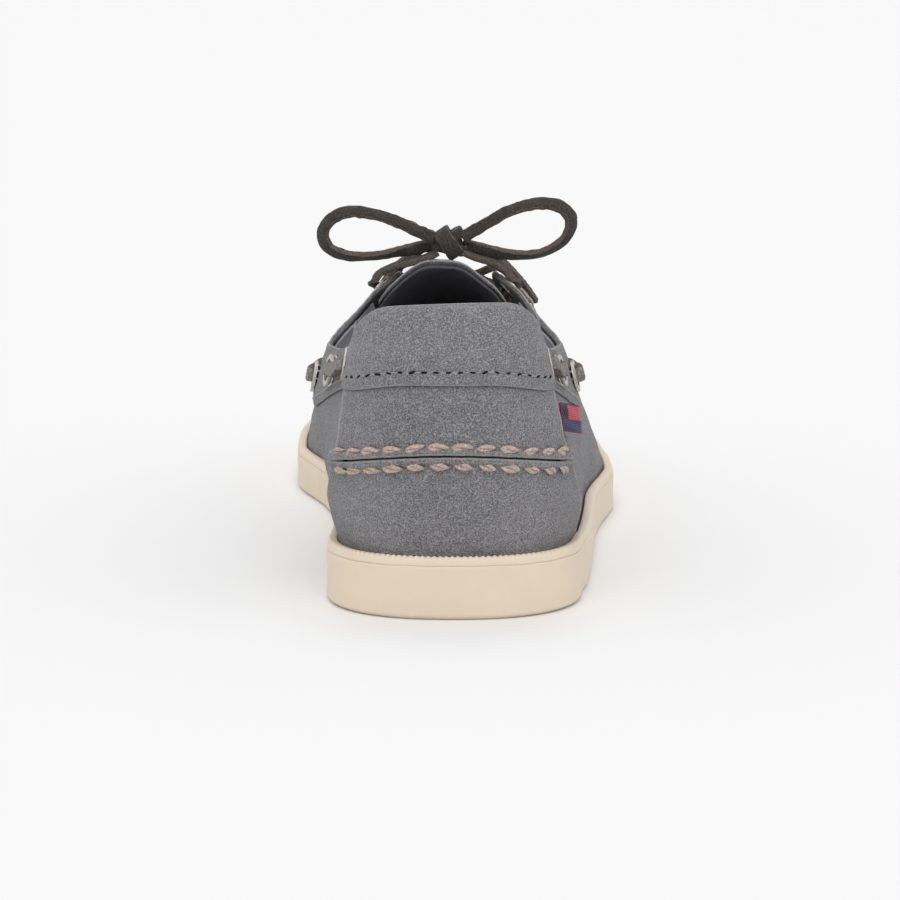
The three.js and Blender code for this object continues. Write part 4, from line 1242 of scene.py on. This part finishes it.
def thong(name, line, normals, seed, gap=0.8, ease=3, width=LACE_WIDTH):
    points, ups = resample(line, normals, gap, ease)
    section = rough_section(len(points), width, LACE_THICK, seed)
    obj = sweep(name, points, ups, section, finish_of("thong", "thong_edge"))
    edge_slots(obj, section.shape[1], width)
    return obj, points


BOW = {
    "bow_loop_medial": [
        (-5.2, 122.6, 92.4), (-12, 122.4, 95.6), (-20, 122.2, 98.9), (-29, 122.4, 100.8),
        (-36, 123.2, 99.2), (-39.6, 124.4, 94.6), (-38, 125.4, 89.4), (-32, 125.8, 86.8),
        (-23, 125.6, 86.9), (-14, 125.4, 88.6), (-5.2, 125.2, 90.4)],
    "bow_loop_lateral": [
        (3.2, 122.6, 92.6), (10, 122.4, 96.8), (18.5, 122.2, 101.4), (27.5, 122.4, 103.3),
        (34, 123.2, 101.8), (36.6, 124.4, 97), (34, 125.4, 91.4), (27, 125.8, 87.6),
        (18.5, 125.6, 87.1), (10.5, 125.4, 88.5), (3.2, 125.2, 90.4)],
    "lace_end_medial": [
        (-3, 126.6, 90), (-6.5, 133, 88.8), (-10, 140, 87), (-13.5, 148, 83.5),
        (-17, 157, 79.6), (-20, 167, 74.6), (-22, 177, 69.8), (-23, 186, 65.8)],
    "lace_end_lateral": [
        (1, 126.6, 90), (5, 133, 88.8), (9, 140, 87), (13.5, 148, 83.5),
        (17.5, 157, 79.4), (21, 166, 74.6), (24, 175, 69.6), (26, 183, 65.6)],
}


def loop_normals(line, lean):
    """Out of the loop, turned towards the back so that part of the wide face shows."""
    low, high = line.min(0), line.max(0)
    out = line - (low + high) / 2
    out[:, 1] = 0
    out /= np.linalg.norm(out, axis=1, keepdims=True)
    angle = np.radians(lean)[:, None]
    return out * np.cos(angle) + np.array([0, -1.0, 0]) * np.sin(angle)


def make_bow():
    for seed, (name, points) in enumerate(BOW.items()):
        line = through(points, 0.8)
        count = len(line)
        if name.startswith("bow"):
            share = np.linspace(0, 1, count)
            lean = 48 + 14 * np.sin(2 * np.pi * share + seed) + 10 * np.sin(5 * np.pi * share)
            normals = loop_normals(line, lean)
        else:
            normals = np.repeat(UP[None], count, 0)
        obj, route = thong(name, line, normals, 20 + seed, 0.8, 1)
        ready(obj, ROOT, "thong_leather", name)


def knot_turn(name, tilt, reach, shift, width, seed):
    """One turn of the thong round the middle of the bow."""
    angle = np.linspace(0, 2 * np.pi, 60)
    tall = np.array([-math.sin(tilt), 0, math.cos(tilt)])
    depth = np.array([0, 1.0, 0])
    flat = lambda v: np.sign(v) * np.abs(v) ** 0.8
    ring = (np.outer(flat(np.cos(angle)), tall) * reach[0] + np.outer(flat(np.sin(angle)), depth) * reach[1])
    normals = np.outer(np.cos(angle) / reach[0], tall) + np.outer(np.sin(angle) / reach[1], depth)
    return thong(name, KNOT + np.array(shift) + ring, normals, seed, 0.6, 1, width)[0]


def make_knot():
    bpy.ops.mesh.primitive_uv_sphere_add(segments=28, ring_count=16, radius=1)
    core = bpy.context.object
    core.data.transform(Matrix.Translation(Vector(to_frame(KNOT)))
                        @ Matrix.Diagonal((4.4 * MM, 2.9 * MM, 2.9 * MM, 1)))
    for material in finish_of("thong", "thong_edge"):
        core.data.materials.append(material)
    turns = [
        knot_turn("turn_front", math.radians(34), (4.1, 3.7), (0.0, 0.0, 0.0), 5.0, 31),
        knot_turn("turn_low", math.radians(78), (4.6, 2.6), (0.2, 0.5, -1.6), 3.4, 32),
        knot_turn("turn_high", math.radians(-62), (4.5, 2.6), (-0.4, 0.6, 1.2), 3.4, 33),
    ]
    knot = join("lace_knot", [core, *turns])
    knot.data.polygons.foreach_set("use_smooth", [True] * len(knot.data.polygons))
    return ready(knot, ROOT, "thong_leather", "lace_knot")


def make_lace():
    points, normals = zip(*lace_route())
    lace, _ = thong("lace", points, normals, 11, width=LACE_WIDTH + 0.5)
    lace.data.materials.append(Finishes.get("thong_rough"))
    behind = to_frame([0, 100.0, 0])[1]
    for face in lace.data.polygons:
        if face.center.y < behind and face.material_index == 0:
            face.material_index = 2
    ready(lace, ROOT, "thong_leather", "lace")


# ---- stitches --------------------------------------------------------------------------
def stitch_shape(name, length, width, thick, plies, dive, twist=0.9):
    """A stitch lying along X on the XY plane, of one or two twisted plies, in metres."""
    rings, sides = 9, 6
    x = np.linspace(-1, 1, rings)
    taper = np.clip(1 - np.abs(x) ** 2.6, 0.03, 1) ** 0.5
    parts = []
    for ply in range(plies):
        turn = twist * np.pi * x / 2 + np.pi * ply + 0.3
        off = (0.25 if plies == 2 else 0.0) * taper
        centre = np.stack([x * length / 2, off * width * np.cos(turn),
                           off * thick * np.sin(turn) - dive * np.abs(x) ** 4], 1)
        radius = (0.27 if plies == 2 else 0.5) * taper
        angle = np.linspace(0, 2 * np.pi, sides, endpoint=False)
        ring = np.stack([0 * angle, np.cos(angle), np.sin(angle)], 1)
        size = np.stack([0 * radius, radius * width, radius * thick], 1)
        parts.append(centre[:, None] + ring[None] * size[:, None])
    verts, faces, start = [], [], 0
    for part in parts:
        grid = np.arange(rings * sides).reshape(rings, sides) + start
        ahead = np.roll(grid, -1, axis=1)
        faces += np.stack([grid[:-1], ahead[:-1], ahead[1:], grid[1:]], -1).reshape(-1, 4).tolist()
        faces += [grid[0][::-1].tolist(), grid[-1].tolist()]
        verts.append(part.reshape(-1, 3))
        start += rings * sides
    points = np.concatenate(verts)
    quads = np.array([f for f in faces if len(f) == 4])
    if volume_sign(points, quads) < 0:
        faces = [f[::-1] for f in faces]
    mesh = bpy.data.meshes.new(name)
    mesh.from_pydata((points * MM).tolist(), [], faces)
    mesh.polygons.foreach_set("use_smooth", [True] * len(mesh.polygons))
    return new_object(name, mesh)


def stitch_tree():
    """Puts a stitch on each point of a seam, along the seam and out of the leather."""
    tree = bpy.data.node_groups.new("Stitches on a seam", "GeometryNodeTree")
    inputs = {name: socket(tree, name, kind, value).identifier for name, kind, value in (
        ("Seam", "Geometry", None), ("Stitch", "Object", None), ("Slant", "Float", 0.2),
        ("Unevenness", "Float", 0.08), ("Seed", "Int", 3), ("Thread", "Material", None))}
    socket(tree, "Stitches", "Geometry", output=True)
    start, end = node(tree, "NodeGroupInput"), node(tree, "NodeGroupOutput")
    link = tree.links.new

    def attribute(name):
        made = node(tree, "GeometryNodeInputNamedAttribute", data_type="FLOAT_VECTOR")
        made.inputs["Name"].default_value = name
        return made.outputs["Attribute"]

    def chance(kind, low, high, offset):
        made = node(tree, "FunctionNodeRandomValue", data_type=kind)
        add = node(tree, "ShaderNodeMath", operation="ADD")
        link(start.outputs["Seed"], add.inputs[0])
        add.inputs[1].default_value = offset
        link(add.outputs[0], made.inputs["Seed"])
        made.inputs[2].default_value, made.inputs[3].default_value = low, high
        return made.outputs[1]

    def times(a, b):
        made = node(tree, "ShaderNodeMath", operation="MULTIPLY")
        link(a, made.inputs[0])
        link(b, made.inputs[1])
        return made.outputs[0]

    axes = node(tree, "FunctionNodeAxesToRotation", primary_axis="X", secondary_axis="Z")
    link(attribute("along"), axes.inputs[0])
    link(attribute("out"), axes.inputs[1])
    slant = node(tree, "ShaderNodeMath", operation="ADD")
    link(start.outputs["Slant"], slant.inputs[0])
    link(times(chance("FLOAT", -1.6, 1.6, 1), start.outputs["Unevenness"]), slant.inputs[1])
    euler = node(tree, "ShaderNodeCombineXYZ")
    link(slant.outputs[0], euler.inputs["Z"])
    local = node(tree, "FunctionNodeEulerToRotation")
    link(euler.outputs[0], local.inputs[0])
    turn = node(tree, "FunctionNodeRotateRotation", rotation_space="LOCAL")
    link(axes.outputs[0], turn.inputs[0])
    link(local.outputs[0], turn.inputs[1])
    size = node(tree, "ShaderNodeMath", operation="ADD")
    link(times(chance("FLOAT", -1.0, 1.0, 2), start.outputs["Unevenness"]), size.inputs[0])
    size.inputs[1].default_value = 1.0
    shape = node(tree, "GeometryNodeObjectInfo")
    link(start.outputs["Stitch"], shape.inputs["Object"])
    put = node(tree, "GeometryNodeInstanceOnPoints")
    link(start.outputs["Seam"], put.inputs["Points"])
    link(shape.outputs["Geometry"], put.inputs["Instance"])
    link(turn.outputs[0], put.inputs["Rotation"])
    link(size.outputs[0], put.inputs["Scale"])
    real = node(tree, "GeometryNodeRealizeInstances")
    link(put.outputs[0], real.inputs[0])
    paint = node(tree, "GeometryNodeSetMaterial")
    link(real.outputs[0], paint.inputs["Geometry"])
    link(start.outputs["Thread"], paint.inputs["Material"])
    link(paint.outputs[0], end.inputs[0])
    return tree, inputs


def seam_points(rows):
    """A mesh of loose points with a direction along the seam and one out of it."""
    place_at = np.concatenate([r[0] for r in rows])
    mesh = bpy.data.meshes.new("seam")
    mesh.from_pydata(to_frame(place_at).tolist(), [], [])
    for index, name in ((1, "along"), (2, "out")):
        values = np.concatenate([r[index] for r in rows]).astype(np.float32)
        mesh.attributes.new(name, "FLOAT_VECTOR", "POINT").data.foreach_set("vector", values.reshape(-1))
    return mesh


def row_on_skin(s, t, depth, across=False):
    """Places, directions and normals of a row; across turns each stitch over the seam."""
    n = skin_normal(s, t)
    e = 0.002
    if across:
        way = skin(s, t + e) - skin(s, t - e)
    else:
        ahead = np.append(s[1:], 2 * s[-1] - s[-2])
        way = skin(ahead, np.append(t[1:], 2 * t[-1] - t[-2])) - skin(s, t)
    way = way / np.linalg.norm(way, axis=-1, keepdims=True)
    return under(s, t, depth), way, n


def sew(name, rows, shape, finish, slot, nodes=(), slant=0.0, uneven=0.08, seed=3, body=None):
    """Sets a copy of the stitch at each place of the rows, and keeps them as one mesh."""
    if not hasattr(sew, "tree"):
        sew.tree = stitch_tree()
    tree, inputs = sew.tree
    obj = new_object(name, seam_points(rows))
    work = obj.modifiers.new("stitches", "NODES")
    work.node_group = tree
    for key, value in (("Stitch", shape), ("Slant", slant), ("Unevenness", uneven), ("Seed", seed),
                       ("Thread", Finishes.get(finish))):
        work[inputs[key]] = value
    made = bpy.data.meshes.new_from_object(obj.evaluated_get(bpy.context.evaluated_depsgraph_get()))
    obj.modifiers.clear()
    obj.data = made
    bpy.data.objects.remove(shape)
    return ready(obj, body or ROOT, slot, *nodes)


RIDGE_ROW_ABOVE = 2.45
RIDGE_ROW_BELOW = 2.7
RIDGE_ROW_LIFT = 1.25
COLLAR_ROW_UP = 3.0
COLLAR_ROW_GAP = 1.65
COLLAR_HOLE_LIFT = 1.3
COLLAR_BIT_LIFT = 1.24
SIDE_ROW_UP = 2.6
SIDE_ROW_GAP = 3.0
SIDE_ROW_LIFT = 0.42
APRON_ROW_T = 0.925
APRON_ROW_LIFT = 1.65


def ridge_row(side):
    away = RIDGE_ROW_ABOVE if side > 0 else -RIDGE_ROW_BELOW
    level = lambda s: ridge_t(s) + away / column_length(s)
    s, t, _ = place_along(-SEAM_TOP_S - 0.002, SEAM_TOP_S + 0.002, level, STITCH_GAP)
    return row_on_skin(s, t, -RIDGE_ROW_LIFT - heel_side_lift(s, t))


def sew_ridge():
    """Thick hand stitches above and below the ridge at the heel."""
    for name, side, slant in (("ridge_thread_upper", 1, 0.1), ("ridge_thread_lower", -1, -0.2)):
        shape = stitch_shape("stitch", 5.9, 2.4, 2.1, 2, 0.9)
        sew(name, [ridge_row(side)], shape, "thread", "waxed_thread", [name], slant, 0.1, 5 + side)


def sew_collar():
    """Machine stitches along the collar band, sunk, with a dark mark of painted shade for the needle hole
    between each two.
    """
    level = lambda s: band_t(s) + COLLAR_ROW_UP / column_length(s)
    s, t, _ = place_along(-SEAM_TOP_S + 0.004, SEAM_TOP_S - 0.004, level, COLLAR_ROW_GAP)
    # Dark marks laid on the surface between the thread bits: painted shade of the needle holes.
    holes = row_on_skin(s[1::2], t[1::2], -COLLAR_HOLE_LIFT)
    shape = stitch_shape("hole", 1.7, 0.6, 0.35, 1, 0.1)
    sew("collar_holes", [holes], shape, "hole", "fine_thread", (), 0.12, 0.25, 8)
    bits = row_on_skin(s[::2], t[::2], -COLLAR_BIT_LIFT)
    shape = stitch_shape("bit", 1.7, 0.4, 0.5, 1, 0.3)
    sew("collar_thread", [bits], shape, "fine_thread", "fine_thread", ["collar_thread"], 0.0, 0.15, 9)


def sew_sides():
    """Machine stitches along the side collars."""
    level = lambda s: side_band_t(s) + SIDE_ROW_UP / column_length(s)
    for side_name, side in SIDES:
        name = f"collar_thread_{side_name}"
        s, t, _ = place_along(side * (SEAM_TOP_S + 0.012), side * (FRONT_S - 0.004), level, SIDE_ROW_GAP)
        shape = stitch_shape("bit", 2.8, 0.6, 0.8, 1, 0.45)
        sew(name, [row_on_skin(s, t, -SIDE_ROW_LIFT)], shape, "fine_thread", "fine_thread", [name],
            0.0, 0.1, 12 + side)


def sew_apron():
    """Thick hand stitches over the gathered edge of the apron."""
    level = fixed(APRON_ROW_T)
    s, t, _ = place_along(FRONT_S + 0.004, 2 - FRONT_S - 0.004, level, STITCH_GAP)
    shape = stitch_shape("stitch", 6.0, 2.3, 1.9, 2, 1.2)
    sew("apron_thread", [row_on_skin(s, t, -APRON_ROW_LIFT, True)], shape, "thread", "waxed_thread",
        ["apron_thread"], 0.25, 0.1, 17)


def make_stitching():
    sew_ridge()
    sew_collar()
    sew_sides()
    sew_apron()


# ---- label --------------------------------------------------------------------------------
LABEL_Z = 53.6
LABEL_LIFT = 0.42
LABEL_LENGTH = 9.0
LABEL_HEIGHT = 8.0
LABEL_TAPE = 0.16
LABEL_NAVY_BELOW = -0.6
LABEL_DARK_END = 2.6


def make_label():
    """Short woven tape, folded over and caught in the side seam."""
    low, high = (np.array(v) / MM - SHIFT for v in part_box("label"))
    s = SEAM_TOP_S + 0.006
    t = float(share_at_z(s, LABEL_Z))
    normal, flat = skin_normal(s, t), skin(s + 0.01, t) - skin(s - 0.01, t)
    flat /= np.linalg.norm(flat)
    up = np.cross(normal, flat)
    along = flat * math.cos(LABEL_LIFT) + normal * math.sin(LABEL_LIFT)
    normal = np.cross(along, up)
    centre = (low + high) / 2
    a, b = np.meshgrid(np.linspace(0, 1, 60), np.linspace(0, 1, 34), indexing="ij")
    run = a * 2 - 1
    u = LABEL_LENGTH / 2 - np.abs(run) * LABEL_LENGTH
    bulge = 0.28 + 0.35 * (1 - np.abs(run)) ** 0.6 * np.abs(run) ** 0.5
    apart = np.clip(np.abs(run) * 8, 0, 1)
    off = np.sign(run) * bulge * apart
    v = (b - 0.5) * LABEL_HEIGHT
    wavy = 0.12 * np.sin(v * 1.3 + u * 0.5)

    def leaf(more):
        side = (off + wavy + more * np.sign(run) * apart)[..., None]
        tip = (u + more * (1 - apart))[..., None]
        return centre + along * tip + up * v[..., None] + normal * side

    obj = wall("label", leaf(LABEL_TAPE), leaf(-LABEL_TAPE),
               finish_of("red_tape", "dark_tape", "red_tape", "navy_tape"))
    mesh = obj.data
    slots = np.array([p.material_index for p in mesh.polygons])
    centres = np.array([p.center[:] for p in mesh.polygons]) / MM - SHIFT - centre
    high_up, along_it = centres @ up, centres @ along
    slots[(slots == 0) & (high_up < LABEL_NAVY_BELOW)] = 3
    slots[(slots == 0) & (along_it < -LABEL_LENGTH / 2 + LABEL_DARK_END)] = 1
    mesh.polygons.foreach_set("material_index", slots)
    return ready(obj, "label", "woven_label", "label")


# ---- stage ---------------------------------------------------------------------------------
def sun(name, direction, power, spread):
    """Even light from a wide soft source, along a direction."""
    data = bpy.data.lights.new(name, "SUN")
    data.energy, data.angle = power, math.radians(spread)
    obj = bpy.data.objects.new(name, data)
    bpy.context.scene.collection.objects.link(obj)
    obj.rotation_euler = Vector(direction).to_track_quat("-Z", "Y").to_euler()
    return obj


FLOOR_HALF = 40
WORLD_STRENGTH = 0.61
CAMERA_AT = (-0.0007, -1.0984, 0.212)
CAMERA_TILT = 80.2
CAMERA_LENS = 140.64
CAMERA_SENSOR = 36


def make_stage():
    material, _, shader = surface("floor", Roughness=0.95, Specular_IOR_Level=0.1)
    shader.inputs["Base Color"].default_value = (0.86, 0.86, 0.863, 1)
    mesh = bpy.data.meshes.new("floor")
    corners = [(-1, -1), (1, -1), (1, 1), (-1, 1)]
    mesh.from_pydata([(x * FLOOR_HALF, y * FLOOR_HALF, 0) for x, y in corners], [], [(0, 1, 2, 3)])
    floor = new_object("floor", mesh, material)
    lights = [
        sun("key", (0.1, 0.8, -1.0), 1.0, 50),
        sun("right", (-1.0, 0.4, -0.9), 0.25, 60),
        sun("left", (1.0, 0.1, -1.1), 0.15, 60),
        sun("front", (0.0, -0.4, -1.0), 0.55, 30),
    ]
    world = bpy.data.worlds.new("studio")
    bpy.context.scene.world = world
    world.use_nodes = True
    background = world.node_tree.nodes["Background"]
    background.inputs["Color"].default_value = (1, 1, 1, 1)
    background.inputs["Strength"].default_value = WORLD_STRENGTH
    camera_data = bpy.data.cameras.new("camera")
    camera_data.sensor_width = CAMERA_SENSOR
    camera_data.lens = CAMERA_LENS
    camera_data.dof.use_dof = False
    camera = bpy.data.objects.new("camera", camera_data)
    bpy.context.scene.collection.objects.link(camera)
    camera.location = CAMERA_AT
    camera.rotation_euler = (math.radians(CAMERA_TILT), 0, 0)
    bpy.context.scene.camera = camera
    bpy.context.scene.view_settings.view_transform = "Standard"


# ---- add-on ----------------------------------------------------------------------------------
class DeckShoeSettings(bpy.types.PropertyGroup):
    suede_colour: bpy.props.FloatVectorProperty(
        name="Suede colour", description="Average colour of the brushed leather", subtype="COLOR",
        size=3, min=0, max=1, default=(0.262, 0.257, 0.270))
    sole_colour: bpy.props.FloatVectorProperty(
        name="Sole colour", description="Colour of the moulded sole", subtype="COLOR",
        size=3, min=0, max=1, default=(0.80, 0.675, 0.53))


def make_sole_unit():
    make_outsole()
    make_slab("insole_board", RIM_WIDTH + GAP, SOLE_FLOOR + GAP, BOARD, "board", "board")
    inset = UPPER_INSET + LINING_OUT + LINING + 3.2
    make_slab("footbed", inset, BOARD_TOP + GAP, FOOTBED, "footbed", "footbed_leather")


class DECKSHOE_OT_sole(bpy.types.Operator):
    """Adds the sole, its board and the footbed"""
    bl_idname = "deck_shoe.sole"
    bl_label = "Sole"

    def execute(self, context):
        make_sole_unit()
        return {"FINISHED"}


class DECKSHOE_OT_heel(bpy.types.Operator):
    """Adds the heel panels, collar band and heel lining"""
    bl_idname = "deck_shoe.heel"
    bl_label = "Heel"

    def execute(self, context):
        make_heel()
        return {"FINISHED"}


class DECKSHOE_OT_quarters(bpy.types.Operator):
    """Adds the quarters and side collars"""
    bl_idname = "deck_shoe.quarters"
    bl_label = "Quarters"

    def execute(self, context):
        make_quarters()
        return {"FINISHED"}


class DECKSHOE_OT_forefoot(bpy.types.Operator):
    """Adds the vamp and apron"""
    bl_idname = "deck_shoe.forefoot"
    bl_label = "Forefoot"

    def execute(self, context):
        make_forefoot()
        return {"FINISHED"}


class DECKSHOE_OT_tongue(bpy.types.Operator):
    """Adds the tongue"""
    bl_idname = "deck_shoe.tongue"
    bl_label = "Tongue"

    def execute(self, context):
        make_tongue()
        return {"FINISHED"}


class DECKSHOE_OT_eyelets(bpy.types.Operator):
    """Adds the metal eyelets"""
    bl_idname = "deck_shoe.eyelets"
    bl_label = "Eyelets"

    def execute(self, context):
        make_eyelets()
        return {"FINISHED"}


class DECKSHOE_OT_lacing(bpy.types.Operator):
    """Adds the thong, knot and bow"""
    bl_idname = "deck_shoe.lacing"
    bl_label = "Lacing"

    def execute(self, context):
        make_lace()
        make_knot()
        make_bow()
        return {"FINISHED"}


class DECKSHOE_OT_stitching(bpy.types.Operator):
    """Adds the hand and machine stitches"""
    bl_idname = "deck_shoe.stitching"
    bl_label = "Stitching"

    def execute(self, context):
        make_stitching()
        return {"FINISHED"}


class DECKSHOE_OT_label(bpy.types.Operator):
    """Adds the woven side label"""
    bl_idname = "deck_shoe.label"
    bl_label = "Label"

    def execute(self, context):
        make_label()
        return {"FINISHED"}


class DECKSHOE_OT_stage(bpy.types.Operator):
    """Adds the floor, lights and camera"""
    bl_idname = "deck_shoe.stage"
    bl_label = "Stage"

    def execute(self, context):
        make_stage()
        return {"FINISHED"}


OPERATORS = [
    DECKSHOE_OT_sole,
    DECKSHOE_OT_heel,
    DECKSHOE_OT_quarters,
    DECKSHOE_OT_forefoot,
    DECKSHOE_OT_tongue,
    DECKSHOE_OT_eyelets,
    DECKSHOE_OT_lacing,
    DECKSHOE_OT_stitching,
    DECKSHOE_OT_label,
    DECKSHOE_OT_stage,
]


class DECKSHOE_PT_panel(bpy.types.Panel):
    """Buttons for each group of pieces"""
    bl_label = "Deck Shoe"
    bl_space_type = "VIEW_3D"
    bl_region_type = "UI"
    bl_category = "Deck Shoe"

    def draw(self, context):
        for setting in ("suede_colour", "sole_colour"):
            self.layout.prop(context.scene.deck_shoe, setting)
        for item in OPERATORS:
            self.layout.operator(item.bl_idname)


CLASSES = [DeckShoeSettings, *OPERATORS, DECKSHOE_PT_panel]


def register():
    for item in CLASSES:
        bpy.utils.register_class(item)
    bpy.types.Scene.deck_shoe = bpy.props.PointerProperty(type=DeckShoeSettings)


def unregister():
    del bpy.types.Scene.deck_shoe
    for item in reversed(CLASSES):
        bpy.utils.unregister_class(item)


def main():
    register()
    for item in OPERATORS:
        getattr(bpy.ops.deck_shoe, item.bl_idname.split(".")[1])()


if __name__ == "__main__":
    main()
